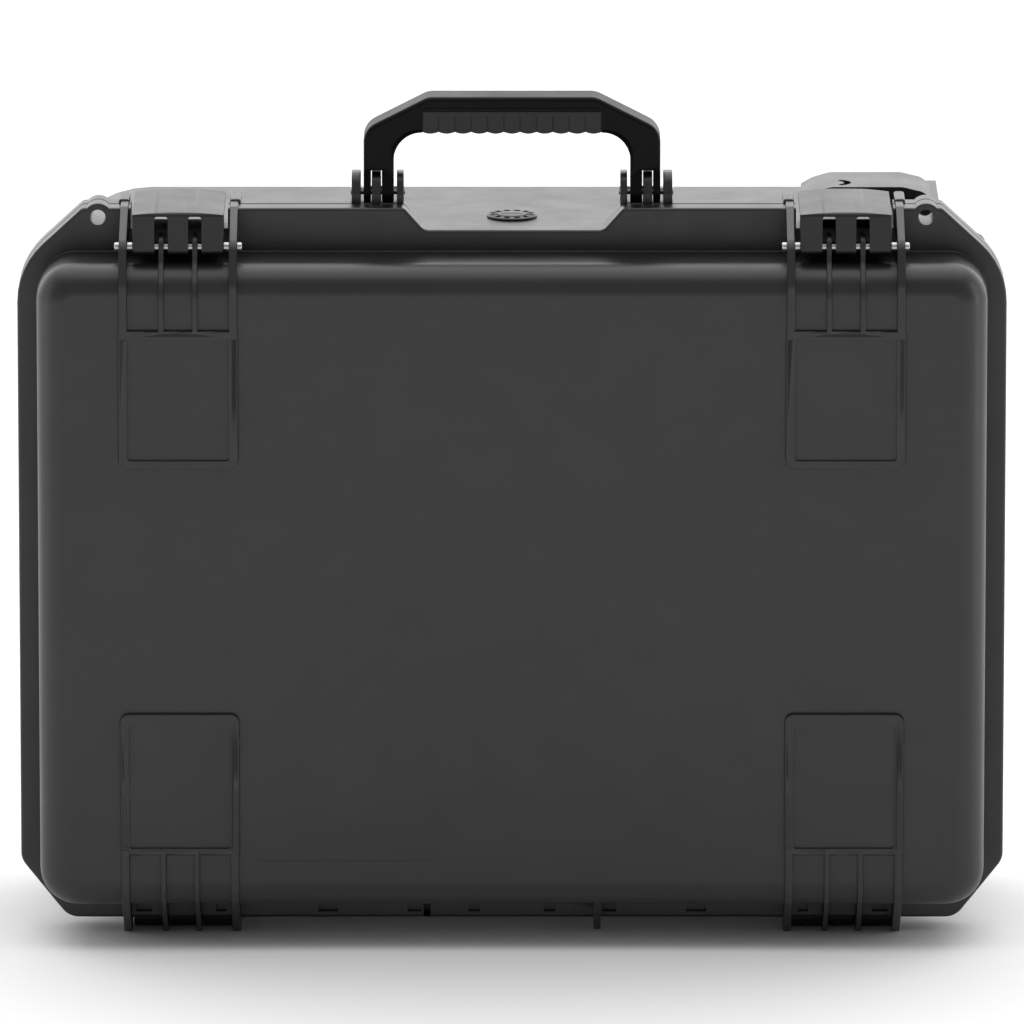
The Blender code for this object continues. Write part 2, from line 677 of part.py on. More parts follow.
def add_base_holes(bm):
    """Pin holes, padlock holes, the valve hole and the blind holes of the axles."""
    add_ear_holes(bm)
    for station in STATIONS.values():
        add_cylinder(bm, (station, *HINGE_AXIS), "X", HINGE_PIN_RADIUS + FIT,
                     2 * (OUTER_RIB[0] + 0.006))
    for side in (-1, 1):
        add_cylinder(bm, (side * 0.0760, *HANDLE_PIVOT), "X", HANDLE_PIN_RADIUS + FIT, 0.040)
    add_cylinder(bm, (0, VALVE_Y, BASE_HIGH), "Z", 0.0063, 0.02)
    for name in WHEEL_Z:
        low_z, high_z = well_span(name, WELL_GAP + 0.0035, 0)
        add_cylinder(bm, (*WHEEL_CENTRE, (low_z + high_z) / 2), "Z", AXLE_RADIUS + FIT,
                     high_z - low_z, sides=16)


# ---- Pins ----
def make_pin(name, centre, axis, radius, length, sides=16):
    bm = bmesh.new()
    add_cylinder(bm, centre, axis, radius, length, sides=sides)
    return piece(name, bm, steel(f"{name}_steel"), centre)


# ---- Latches ----
def arch(middle, edge, rise):
    """What lies beyond an edge that bows out by a rise between a latch's two sides."""
    half = LATCH_HALF + 0.001
    beyond = edge + 0.002
    points = [(middle - half, beyond)]
    for step in range(9):
        share = 2 * step / 8 - 1
        points.append((middle + half * share, edge - rise * share ** 2))
    points.append((middle + half, beyond))
    return points


def make_latch(side):
    """A draw latch: a lever that swings on the lid, and its hook over the catch."""
    middle = STATIONS[side]
    pivot_y, pivot_z = LATCH_PIVOT
    plate_low = LATCH_TOP - LATCH_PLATE
    profile = rounded([
        (LATCH_FRONT_Y, pivot_z - 0.0038, 0.002), (LATCH_FRONT_Y, LATCH_TOP, 0.0025),
        (LATCH_REAR_Y, LATCH_TOP, 0.0015), (LATCH_REAR_Y, plate_low, 0.0005),
        (pivot_y + 0.008, plate_low, 0.003), (pivot_y + 0.006, pivot_z - 0.0038, 0.003),
    ], steps=3)
    bm = bmesh.new()
    add_outline(bm, profile, "X", middle - LATCH_HALF, middle + LATCH_HALF, bevel=0.0008,
                segments=1)
    lever = piece(f"{side}_latch_lever", bm, plastic(f"{side}_latch_plastic", roughness=0.42),
                  (middle, *LATCH_PIVOT))
    bm = bmesh.new()
    cheek = 0.0022
    for way in (-1, 1):
        low, high = sorted((middle + way * (LATCH_HALF - 0.0008),
                            middle + way * (LATCH_HALF - 0.0008 - cheek)))
        add_outline(bm, [(pivot_y + 0.004, 0.4130), (pivot_y + 0.004, plate_low + 0.001),
                         (LATCH_REAR_Y - 0.001, plate_low + 0.001),
                         (LATCH_REAR_Y - 0.001, 0.4145), (LATCH_REAR_Y - 0.004, 0.4130)],
                    "X", low, high)
    join(lever, bm, f"{side}_latch_cheeks")
    bm = bmesh.new()
    for way in (-1, 1):
        offset = way * INNER_RIB[0]
        add_box(bm, (middle + offset - 0.0038, LATCH_FRONT_Y - 0.01, pivot_z - 0.02),
                (middle + offset + 0.0038, pivot_y + 0.0085, LATCH_TOP - 0.0014))
    cut(lever, bm, f"{side}_latch_slots")
    bm = bmesh.new()
    add_cylinder(bm, (middle, *LATCH_PIVOT), "X", LATCH_PIN_RADIUS + FIT, 0.06)
    add_cylinder(bm, (middle, *HOOK_PIVOT), "X", HOOK_PIN_RADIUS + FIT, 0.06, sides=12)
    cut(lever, bm, f"{side}_latch_holes")
    bm = bmesh.new()
    crown = arch(middle, LATCH_TOP, LATCH_CROWN)
    add_outline(bm, crown, "Y", LATCH_FRONT_Y - 0.001, LATCH_REAR_Y + 0.001)
    cut(lever, bm, f"{side}_latch_crown")
    bm = bmesh.new()
    add_outline(bm, arch(middle, LATCH_REAR_Y, LATCH_BOW), "Z", plate_low - 0.02, LATCH_TOP + 0.001)
    cut(lever, bm, f"{side}_latch_bow")
    make_pin(f"{side}_latch_pin", (middle, *LATCH_PIVOT), "X", LATCH_PIN_RADIUS, 0.0720)
    make_pin(f"{side}_hook_pin", (middle, *HOOK_PIVOT), "X", HOOK_PIN_RADIUS, 0.0505, sides=12)
    hook_y, hook_z = HOOK_PIVOT
    bm = bmesh.new()
    corners = [
        (hook_y + HOOK_ARM, hook_z + HOOK_ARM, 0.0029),
        (hook_y - HOOK_ARM, hook_z + HOOK_ARM, 0.0029),
        (hook_y - HOOK_ARM, hook_z - HOOK_NECK, 0),
        (hook_y - HOOK_TOE, hook_z - HOOK_NECK, 0),
    ]
    toe_angle = -math.acos(-HOOK_TOE / HOOK_REACH)
    heel_angle = -math.acos(HOOK_ARM / HOOK_REACH)
    for step in range(7):
        angle = toe_angle + (heel_angle - toe_angle) * step / 6
        corners.append((hook_y + HOOK_REACH * math.cos(angle),
                        hook_z + HOOK_REACH * math.sin(angle), 0))
    hook_outline = rounded(corners)
    add_outline(bm, hook_outline, "X", middle - 0.0215, middle + 0.0215)
    hook = piece(f"{side}_latch_hook", bm, plastic(f"{side}_hook_plastic", roughness=0.45),
                 (middle, *HOOK_PIVOT))
    bm = bmesh.new()
    add_cylinder(bm, (middle, *HOOK_PIVOT), "X", HOOK_PIN_RADIUS + FIT, 0.06, sides=12)
    cut(hook, bm, f"{side}_hook_hole")


# ---- Carry handle ----
def make_handle():
    """The carry handle: a bow with forked legs, and a soft scalloped grip under its bar."""
    pivot_y, pivot_z = HANDLE_PIVOT
    half_thick = HANDLE_THICK / 2
    inner = HANDLE_HALF - HANDLE_LEG
    foot = pivot_z - FORK_END - 0.001
    seat = GRIP_HALF + FIT
    bow = rounded([
        (-HANDLE_HALF, foot, 0), (-inner, foot, 0), (-inner, INNER_Z, INNER_BEND),
        (inner, INNER_Z, INNER_BEND), (inner, foot, 0), (HANDLE_HALF, foot, 0),
        (HANDLE_HALF, 0.4620, 0.010), (0.0475, HANDLE_TOP, 0.012),
        (-0.0475, HANDLE_TOP, 0.012), (-HANDLE_HALF, 0.4620, 0.010),
    ], steps=5)
    bm = bmesh.new()
    add_outline(bm, bow, "Y", pivot_y - half_thick, pivot_y + half_thick, bevel=0.0020)
    handle = piece("carry_handle", bm, plastic("handle_plastic", roughness=0.45),
                   (0, *HANDLE_PIVOT))
    bm = bmesh.new()
    trim = [(pivot_y - 0.018, foot - 0.001), (pivot_y + 0.018, foot - 0.001),
            (pivot_y + 0.018, 0.4420), (pivot_y + 0.0130, 0.4420), (pivot_y + FORK_END, 0.4330)]
    for step in range(7):
        angle = -math.pi * step / 6
        trim.append((pivot_y + FORK_END * math.cos(angle), pivot_z + FORK_END * math.sin(angle)))
    trim += [(pivot_y - FORK_END, 0.4330), (pivot_y - 0.0130, 0.4420), (pivot_y - 0.018, 0.4420)]
    for side in (-1, 1):
        low, high = sorted((side * (inner - 0.001), side * (HANDLE_HALF + 0.001)))
        add_outline(bm, trim, "X", low, high)
    cut(handle, bm, "handle_trim")
    bm = bmesh.new()
    add_box(bm, (-seat, pivot_y - 0.02, INNER_Z - 0.01), (seat, pivot_y + 0.02, GRIP_HIGH + FIT))
    cut(handle, bm, "handle_seat")
    bm = bmesh.new()
    for side in (-1, 1):
        low, high = sorted((side * FORK_SLOT[0], side * FORK_SLOT[1]))
        add_box(bm, (low, pivot_y - 0.02, foot - 0.001), (high, pivot_y + 0.02, 0.4385))
    cut(handle, bm, "handle_forks")
    bm = bmesh.new()
    for side in (-1, 1):
        add_cylinder(bm, (side * 0.0760, *HANDLE_PIVOT), "X", HANDLE_PIN_RADIUS + FIT, 0.04)
    cut(handle, bm, "handle_pin_holes")
    scallops = 11
    pitch = 2 * GRIP_HALF / scallops
    edge = [(-GRIP_HALF, GRIP_HIGH), (-GRIP_HALF, GRIP_LOW + 0.0010)]
    for index in range(scallops):
        start = -GRIP_HALF + index * pitch
        for step in (1, 2, 3, 4):
            share = step / 4
            edge.append((start + pitch * share,
                         GRIP_LOW + 0.0010 * (1 - math.sin(math.pi * share))))
    edge.append((GRIP_HALF, GRIP_HIGH))
    bm = bmesh.new()
    add_outline(bm, edge, "Y", pivot_y - half_thick + 0.0008, pivot_y + half_thick - 0.0008)
    piece("handle_grip", bm, material("grip_rubber", RUBBER_BLACK, 0.75), (0, *HANDLE_PIVOT))
    for side, way in (("left", -1), ("right", 1)):
        make_pin(f"{side}_handle_pin", (way * 0.0760, *HANDLE_PIVOT), "X", HANDLE_PIN_RADIUS,
                 0.0310)


# ---- Turned pieces ----
def turned(name, profile, look, centre, steps=24):
    """Turn a profile of (radius, height) points, given down its outer side, about the Z axis."""
    bm = bmesh.new()
    corners = [bm.verts.new((radius, 0, height)) for radius, height in profile]
    for index, corner in enumerate(corners):
        following = corners[(index + 1) % len(corners)]
        closes_on_axis = index == len(corners) - 1 and profile[0][0] == 0
        if not closes_on_axis:
            bm.edges.new((corner, following))
    made = piece(name, bm, look, smooth=False)
    made.location = centre
    screw = made.modifiers.new("turn", "SCREW")
    screw.steps = steps
    screw.render_steps = steps
    screw.use_merge_vertices = True
    screw.merge_threshold = 0.00005
    screw.use_smooth_shade = True
    return made


def make_valve():
    """The pressure valve: a body through the top wall, its vented cap and the nut inside."""
    top = BASE_HIGH
    look = plastic("valve_plastic", (0.03, 0.03, 0.032), 0.4)
    turned("valve_body", [(0, top + 0.0008), (0.0088, top + 0.0008), (0.0088, top + 0.0016),
                          (0.0130, top + 0.0016), (VALVE_RADIUS, top + 0.0009),
                          (VALVE_RADIUS, top + FIT), (0.0060, top + FIT),
                          (0.0060, top - 0.0150), (0, top - 0.0150)], look, (0, VALVE_Y, 0))
    turned("valve_cap", [(0, top + 0.0020), (0.0070, top + 0.0020), (0.0084, top + 0.0017),
                         (0.0084, top + 0.0011), (0, top + 0.0011)], look, (0, VALVE_Y, 0))
    bm = bmesh.new()
    add_cylinder(bm, (0, VALVE_Y, top - WALL - 0.0035), "Z", 0.0110, 0.0060, sides=6)
    nut = piece("valve_nut", bm, look)
    bm = bmesh.new()
    add_cylinder(bm, (0, VALVE_Y, top - WALL), "Z", 0.0063, 0.03)
    cut(nut, bm, "valve_nut_hole")


def make_wheel(name):
    """A wheel on its axle, with the housing cover that holds the axle's outer end."""
    side = wheel_side(name)
    centre = (*WHEEL_CENTRE, WHEEL_Z[name])
    bore = AXLE_RADIUS + FIT
    half = WHEEL_HALF
    turned(f"{name}_wheel_hub", [(bore, half), (0.0065, half), (0.0075, half - 0.0020),
                                 (HUB_RADIUS - 0.003, half - 0.0020), (HUB_RADIUS, half - 0.001),
                                 (HUB_RADIUS, 0.001 - half), (HUB_RADIUS - 0.003, 0.0020 - half),
                                 (0.0075, 0.0020 - half), (0.0065, -half), (bore, -half)],
           plastic(f"{name}_hub_plastic", (0.02, 0.02, 0.021), 0.45), centre)
    inner = HUB_RADIUS + FIT
    shoulder = WHEEL_RADIUS - 0.003
    turned(f"{name}_wheel_tyre", [(inner, half - 0.001), (shoulder, half),
                                  (WHEEL_RADIUS - 0.001, half - 0.001),
                                  (WHEEL_RADIUS, half - 0.004), (WHEEL_RADIUS, 0.004 - half),
                                  (WHEEL_RADIUS - 0.001, 0.001 - half), (shoulder, -half),
                                  (inner, 0.001 - half)],
           material(f"{name}_tyre_rubber", RUBBER_BLACK, 0.85), centre)
    low_z, high_z = well_span(name, WELL_GAP + 0.0030, WELL_GAP + 0.0060)
    make_pin(f"{name}_wheel_axle", (*WHEEL_CENTRE, (low_z + high_z) / 2), "Z", AXLE_RADIUS,
             high_z - low_z)
    make_wheel_cover(name, side)


def make_wheel_cover(name, side):
    """The bulging cover on the outer wall over a wheel, with a boss for the axle."""
    wall_z = BASE_HIGH if side > 0 else BASE_LOW

    def z_range(first, second):
        return sorted((wall_z + side * first, wall_z + side * second))

    wheel_x, wheel_y = WHEEL_CENTRE
    low_x, high_x = COVER_X
    mound = rounded([
        (low_x, wall_z + side * FIT, 0), (low_x + 0.0070, wall_z + side * 0.0042, 0.008),
        (low_x + 0.0165, wall_z + side * COVER_RISE, 0.014),
        (high_x - 0.0165, wall_z + side * COVER_RISE, 0.014),
        (high_x - 0.0050, wall_z + side * 0.0042, 0.008), (high_x, wall_z + side * FIT, 0),
    ])
    bm = bmesh.new()
    add_outline(bm, mound, "Y", *COVER_Y)
    cover = piece(f"{name}_wheel_cover", bm, plastic(f"{name}_cover_plastic"))
    well_top = abs(WHEEL_Z[name] + side * (WHEEL_HALF + WELL_GAP) - wall_z)
    bm = bmesh.new()
    plug_low, plug_high = z_range(-well_top + 0.0004, 0.0030)
    add_box(bm, (COVER_PLUG[0], COVER_PLUG[1], plug_low), (COVER_PLUG[2], COVER_PLUG[3], plug_high))
    join(cover, bm, f"{name}_cover_plug")
    bm = bmesh.new()
    hollow_low, hollow_high = z_range(-well_top - 0.002, 0.0005)
    wall = 0.0030
    add_box(bm, (COVER_PLUG[0] + wall, COVER_PLUG[1] + wall, hollow_low),
            (COVER_PLUG[2] - wall - 0.0150, COVER_PLUG[3] - wall, hollow_high))
    cut(cover, bm, f"{name}_cover_hollow")
    bm = bmesh.new()
    hole_low, hole_high = z_range(-well_top - 0.002, -well_top + 0.0070)
    add_cylinder(bm, (wheel_x, wheel_y, (hole_low + hole_high) / 2), "Z", AXLE_RADIUS + FIT,
                 hole_high - hole_low, sides=16)
    slot_low, slot_high = z_range(COVER_RISE - 0.0020, COVER_RISE + 0.01)
    add_box(bm, (0.1795, 0.0560, slot_low), (0.1960, 0.0610, slot_high))
    cut(cover, bm, f"{name}_cover_holes")


# ---- Trolley handle ----
def make_trolley():
    """The pull-out handle: a grip on two rods that slide in guide tubes behind a cover."""
    tube_look = material("guide_tube_aluminium", (0.45, 0.45, 0.46), 0.35, 1.0)
    for name, way in (("upper", 1), ("lower", -1)):
        z = MID_Z + way * TUBE_OFFSET
        bm = bmesh.new()
        add_cylinder(bm, ((TUBE_START + TUBE_END) / 2, TUBE_Y, z), "X", TUBE_OUTER,
                     TUBE_END - TUBE_START)
        tube = piece(f"{name}_guide_tube", bm, tube_look)
        bm = bmesh.new()
        add_cylinder(bm, (TUBE_START, TUBE_Y, z), "X", TUBE_INNER, 2 * (TUBE_END - TUBE_START) - 0.004)
        cut(tube, bm, f"{name}_tube_bore")
        start, end = -0.2585, 0.1560
        make_pin(f"{name}_trolley_rod", ((start + end) / 2, TUBE_Y, z), "X", ROD_RADIUS,
                 end - start)
    half = GRIP_WELL[1] - 0.0080
    bm = bmesh.new()
    add_outline(bm, rounded([
        (-0.2790, MID_Z - half, 0.010), (-0.2500, MID_Z - half, 0.004),
        (-0.2500, MID_Z - half + 0.0220, 0.004), (-0.2600, MID_Z - half + 0.0300, 0.010),
        (-0.2600, MID_Z + half - 0.0300, 0.010), (-0.2500, MID_Z + half - 0.0220, 0.004),
        (-0.2500, MID_Z + half, 0.004), (-0.2790, MID_Z + half, 0.010),
    ]), "Y", TUBE_Y - 0.0110, TUBE_Y + 0.0110, bevel=0.0020)
    grip = piece("trolley_grip", bm, plastic("trolley_grip_plastic", roughness=0.5))
    bm = bmesh.new()
    for way in (-1, 1):
        z = MID_Z + way * TUBE_OFFSET
        add_cylinder(bm, (-0.2500, TUBE_Y, z), "X", ROD_RADIUS + FIT, 0.0175, sides=16)
    add_box(bm, (-0.30, TUBE_Y - 0.0063, MID_Z - 0.0153), (-0.2700, TUBE_Y + 0.0063, MID_Z + 0.0153))
    cut(grip, bm, "trolley_grip_holes")
    bm = bmesh.new()
    add_box(bm, (-0.2796, TUBE_Y - 0.0060, MID_Z - 0.0150), (-0.2745, TUBE_Y + 0.0060, MID_Z + 0.0150),
            bevel=0.0010)
    piece("trolley_button", bm, plastic("trolley_button_plastic", (0.035, 0.035, 0.037), 0.4))
    start_x, end_x, half, _ = CHANNEL
    bm = bmesh.new()
    add_box(bm, (start_x + 0.010, TUBE_Y + TUBE_OUTER + FIT, MID_Z - half + 0.0004),
            (end_x - 0.0004, REAR_Y - 0.0015, MID_Z + half - 0.0004), bevel=0.0012)
    cover = piece("trolley_cover", bm, plastic("trolley_cover_plastic"))
    bm = bmesh.new()
    for x in (-0.20, 0.14):
        for way in (-1, 1):
            add_cylinder(bm, (x, REAR_Y, MID_Z + way * 0.025), "Y", 0.0040, 0.008)
    for index in range(5):
        middle = MID_Z + (index - 2) * 0.0090
        add_box(bm, (-0.17, REAR_Y - 0.0030, middle - 0.0015), (0.11, REAR_Y + 0.01, middle + 0.0015))
    cut(cover, bm, "trolley_cover_recesses")
    screw_look = steel("cover_screw_steel")
    for x, end in ((-0.20, "left"), (0.14, "right")):
        for way, height in ((1, "upper"), (-1, "lower")):
            bm = bmesh.new()
            centre = (x, REAR_Y - 0.0028, MID_Z + way * 0.025)
            add_cylinder(bm, centre, "Y", 0.0035, 0.0016, sides=16)
            piece(f"{height}_{end}_cover_screw", bm, screw_look, centre)


# ---- Tray ----
def make_tray():
    """The lift-out tray: an open box with finger holes, a long divider and two cross ones."""
    look = plastic("tray_plastic", TRAY_GREY, 0.55)
    bm = bmesh.new()
    add_pan(bm, TRAY_HALF, TRAY_LOW, TRAY_HIGH, TRAY_FRONT_Y, TRAY_FLOOR_Y, 0.030, 0.006, steps=4)
    tray = piece("tray", bm, look)
    bm = bmesh.new()
    add_pan(bm, TRAY_HALF - TRAY_WALL, TRAY_LOW + TRAY_WALL, TRAY_HIGH - TRAY_WALL,
            TRAY_FRONT_Y - 0.01, TRAY_FLOOR_Y - TRAY_WALL, 0.030 - TRAY_WALL, 0)
    cut(tray, bm, "tray_hollow")
    bm = bmesh.new()
    for side in (-1, 1):
        low, high = sorted((side * 0.240, side * 0.270))
        add_box(bm, (low, -0.0320, MID_Z - 0.045), (high, -0.0120, MID_Z + 0.045), bevel=0.004)
    cut(tray, bm, "tray_finger_holes")
    thick = 0.0020
    low_y, high_y = TRAY_FRONT_Y + 0.004, TRAY_FLOOR_Y - TRAY_WALL - FIT
    z = MID_Z + 0.030
    bm = bmesh.new()
    add_box(bm, (-TRAY_HALF + TRAY_WALL + FIT, low_y, z - thick / 2),
            (TRAY_HALF - TRAY_WALL - FIT, high_y, z + thick / 2))
    piece("tray_long_divider", bm, look)
    for name, x in (("left", -0.085), ("right", 0.085)):
        bm = bmesh.new()
        add_box(bm, (x - thick / 2, low_y, z + thick / 2 + FIT),
                (x + thick / 2, high_y, TRAY_HIGH - TRAY_WALL - FIT))
        piece(f"tray_{name}_divider", bm, look)


make_lid()
make_seal()
make_base()
for station_side, station_x in STATIONS.items():
    make_latch(station_side)
    make_pin(f"{station_side}_hinge_pin", (station_x, *HINGE_AXIS), "X", HINGE_PIN_RADIUS, 0.0690)
make_handle()
make_valve()
for wheel_name in WHEEL_Z:
    make_wheel(wheel_name)
make_trolley()
make_tray()
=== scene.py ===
"""Looks of the hard tool case: fine meshes, moulded-plastic materials, studio light and camera.

Lengths are in metres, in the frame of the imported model: -Y points out of the lid, +Z is up.
"""
import json
import math

import bmesh
import bpy
from mathutils import Matrix, Vector


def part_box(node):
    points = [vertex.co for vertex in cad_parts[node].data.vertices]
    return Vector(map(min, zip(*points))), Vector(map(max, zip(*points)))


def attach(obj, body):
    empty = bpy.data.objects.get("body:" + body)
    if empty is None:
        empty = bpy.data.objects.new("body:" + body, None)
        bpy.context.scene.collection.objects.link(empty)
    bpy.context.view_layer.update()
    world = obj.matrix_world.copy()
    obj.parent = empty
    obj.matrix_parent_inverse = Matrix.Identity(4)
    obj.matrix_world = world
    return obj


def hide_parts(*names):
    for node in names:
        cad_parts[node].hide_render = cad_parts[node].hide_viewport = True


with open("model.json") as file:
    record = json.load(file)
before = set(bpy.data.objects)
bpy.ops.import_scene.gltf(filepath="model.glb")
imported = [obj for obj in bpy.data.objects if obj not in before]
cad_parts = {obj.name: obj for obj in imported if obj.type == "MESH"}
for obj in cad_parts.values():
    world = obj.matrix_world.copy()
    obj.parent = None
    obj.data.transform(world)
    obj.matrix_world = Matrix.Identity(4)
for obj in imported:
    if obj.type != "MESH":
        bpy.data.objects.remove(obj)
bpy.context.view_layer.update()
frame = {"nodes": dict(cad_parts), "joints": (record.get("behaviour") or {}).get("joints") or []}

# ---- Places read from the frame ----
NODES = frame["nodes"]
JOINTS = {joint["name"]: joint for joint in frame["joints"]}
lid_low, lid_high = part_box("lid_shell")
REAR_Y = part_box("base_shell")[1].y
HANDLE_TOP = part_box("carry_handle")[1].z
grip_low, grip_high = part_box("handle_grip")
valve_low, valve_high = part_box("valve_body")
HINGE_AXIS = tuple(JOINTS["lid_hinge"]["pos_m"][1:])
LATCH_PIVOT = tuple(JOINTS["left_latch_swing"]["pos_m"][1:])
HOOK_PIVOT = tuple(JOINTS["left_hook_swing"]["pos_m"][1:])
HANDLE_PIVOT = tuple(JOINTS["handle_fold"]["pos_m"][1:])
STATIONS = {side: JOINTS[f"{side}_latch_swing"]["pos_m"][0] for side in ("left", "right")}
WHEELS = {name: JOINTS[f"{name}_wheel_spin"]["pos_m"] for name in ("upper", "lower")}

# ---- Sizes of the case ----
FIT = 0.0003
WALL = 0.0035
HALF_WIDTH = lid_high.x
FRONT_Y = lid_low.y
SEAM_Y = HINGE_AXIS[0]
FLANGE_LOW = 0.008
FLANGE_HIGH = 0.420
MID_Z = (FLANGE_LOW + FLANGE_HIGH) / 2
FLANGE_THICK = 0.014
TOP_CHAMFER = (0.0371, 0.0342)
TOP_BEND = 0.045
BOTTOM_CHAMFER = (0.027, 0.034)
FRONT_DIP = (-0.061, 0.063, 0.0113)
DOME_HALF = 0.2680
DOME_LOW = 0.0240
DOME_HIGH = 0.3950
LID_FACE_Y = SEAM_Y - 0.062
DOME_CORNER = 0.0216
DOME_FILLET = 0.017
BASE_HALF = 0.2666
BASE_LOW = 0.0214
BASE_HIGH = 0.4066
BASE_REAR_Y = 0.1035
BASE_CORNER = 0.060
BASE_FILLET = 0.025
CATCH_Z = 0.4085
OUTER_RIB = (0.0310, 0.0046)
INNER_RIB = (0.0095, 0.0030)
PAD_HALF = 0.0338
KNUCKLE_RADIUS = 0.0070
LATCH_PIN = 0.0025
HINGE_PIN = 0.0022
SMALL_FIT = 2 * FIT
TUBE_Y = 0.0925

# ---- Shape helpers: each adds closed bodies to a bmesh ----
def mirrored(side, start, end):
    """A span from start to end on one side of the middle, as its low and high ends."""
    return sorted((side * start, side * end))


def add_box(bm, low, high, bevel=0.0, segments=2):
    """Add a box between two corners, with all its edges rounded where bevel is given."""
    size = Vector(high) - Vector(low)
    centre = (Vector(high) + Vector(low)) / 2
    place = Matrix.Translation(centre) @ Matrix.Diagonal((*size, 1.0))
    verts = bmesh.ops.create_cube(bm, size=1.0, matrix=place)["verts"]
    if bevel:
        edges = {edge for vert in verts for edge in vert.link_edges}
        bmesh.ops.bevel(bm, geom=list(edges), offset=bevel, segments=segments,
                        profile=0.5, affect="EDGES")


AXIS_TURN = {
    "X": Matrix.Rotation(math.pi / 2, 4, "Y"),
    "Y": Matrix.Rotation(-math.pi / 2, 4, "X"),
    "Z": Matrix.Identity(4),
}


def add_cylinder(bm, centre, axis, radius, length, sides=32, bevel=0.0):
    """Add a round bar along one axis, with its end edges rounded where bevel is given."""
    bar = bmesh.new()
    bmesh.ops.create_cone(bar, cap_ends=True, segments=sides, radius1=radius, radius2=radius,
                          depth=length, matrix=Matrix.Translation(centre) @ AXIS_TURN[axis])
    if bevel:
        rims = {edge for face in bar.faces if len(face.verts) > 4 for edge in face.edges}
        bmesh.ops.bevel(bar, geom=list(rims), offset=bevel, segments=3, profile=0.5,
                        affect="EDGES")
    add_bmesh(bm, bar)


def add_pan(bm, half, z_low, z_high, y_open, y_closed, corner, fillet, steps=9):
    """Add a rounded block: its corners along Y are round, and so is the edge at y_closed."""
    low_y, high_y = sorted((y_open, y_closed))
    size = Vector((2 * half, high_y - low_y, z_high - z_low))
    centre = Vector((0, (low_y + high_y) / 2, (z_low + z_high) / 2))
    block = bmesh.new()
    bmesh.ops.create_cube(block, size=1.0,
                          matrix=Matrix.Translation(centre) @ Matrix.Diagonal((*size, 1.0)))
    along_y = [edge for edge in block.edges
               if abs(edge.verts[0].co.y - edge.verts[1].co.y) > size.y / 2]
    bmesh.ops.bevel(block, geom=along_y, offset=corner, segments=steps, profile=0.5,
                    affect="EDGES")
    if fillet:
        rim = [edge for edge in block.edges
               if all(abs(vert.co.y - y_closed) < FIT for vert in edge.verts)]
        bmesh.ops.bevel(block, geom=rim, offset=fillet, segments=steps, profile=0.5,
                        affect="EDGES")
    bmesh.ops.recalc_face_normals(block, faces=block.faces)
    add_bmesh(bm, block)


def add_bmesh(bm, other):
    """Copy another bmesh's faces into this one and free it."""
    carrier = bpy.data.meshes.new("carrier")
    other.to_mesh(carrier)
    other.free()
    bm.from_mesh(carrier)
    bpy.data.meshes.remove(carrier)


OUTLINE_FRAME = {       # columns: where the outline's two directions and its thickness point
    "X": Matrix(((0, 0, 1, 0), (1, 0, 0, 0), (0, 1, 0, 0), (0, 0, 0, 1))),
    "Y": Matrix(((1, 0, 0, 0), (0, 0, -1, 0), (0, 1, 0, 0), (0, 0, 0, 1))),
    "Z": Matrix.Identity(4),
}
OUTLINE_OFFSET = {"X": Vector((1, 0, 0)), "Y": Vector((0, 1, 0)), "Z": Vector((0, 0, 1))}


def add_outline(bm, points, axis, low, high, bevel=0.0, segments=2):
    """Add a flat closed outline as a solid between low and high along an axis."""
    solid = bmesh.new()
    loop = [solid.verts.new((u, v, -(high - low) / 2)) for u, v in points]
    face = solid.faces.new(loop)
    raised = bmesh.ops.extrude_face_region(solid, geom=[face])
    top = [item for item in raised["geom"] if isinstance(item, bmesh.types.BMVert)]
    bmesh.ops.translate(solid, vec=(0, 0, high - low), verts=top)
    place = Matrix.Translation(OUTLINE_OFFSET[axis] * (low + high) / 2) @ OUTLINE_FRAME[axis]
    bmesh.ops.transform(solid, matrix=place, verts=solid.verts)
    bmesh.ops.recalc_face_normals(solid, faces=solid.faces)
    if bevel:
        rims = {edge for cap in solid.faces if len(cap.verts) > 4 for edge in cap.edges}
        bmesh.ops.bevel(solid, geom=list(rims), offset=bevel, segments=segments, profile=0.5,
                        affect="EDGES", clamp_overlap=True)
    add_bmesh(bm, solid)


def rounded(corners, steps=6):
    """Round each corner (u, v, radius) of a polygon with an arc of a few straight steps."""
    points = []
    count = len(corners)
    for index, (u, v, radius) in enumerate(corners):
        here = Vector((u, v))
        before = (Vector(corners[index - 1][:2]) - here).normalized()
        after = (Vector(corners[(index + 1) % count][:2]) - here).normalized()
        if radius <= 0:
            points.append((u, v))
            continue
        half_angle = before.angle(after) / 2
        middle = here + (before + after).normalized() * radius / math.sin(half_angle)
        reach = radius / math.tan(half_angle)
        start = here + before * reach - middle
        sweep = start.angle_signed(here + after * reach - middle)
        for step in range(steps + 1):
            turn = Matrix.Rotation(-sweep * step / steps, 2)
            points.append(tuple(middle + turn @ start))
    return points


def rounded_rectangle(low_u, low_v, high_u, high_v, radius, steps=6):
    return rounded([(low_u, low_v, radius), (high_u, low_v, radius), (high_u, high_v, radius),
                    (low_u, high_v, radius)], steps)


# ---- Object helpers ----
def place_object(name, data):
    made = bpy.data.objects.new(name, data)
    bpy.context.scene.collection.objects.link(made)
    return made


def to_object(bm, name):
    """Turn a bmesh into an object and free it."""
    mesh = bpy.data.meshes.new(name)
    bm.to_mesh(mesh)
    bm.free()
    return place_object(name, mesh)


def to_bmesh(made):
    """Take an object's mesh as a bmesh and remove the object."""
    bm = bmesh.new()
    bm.from_mesh(made.data)
    bpy.data.objects.remove(made, do_unlink=True)
    return bm


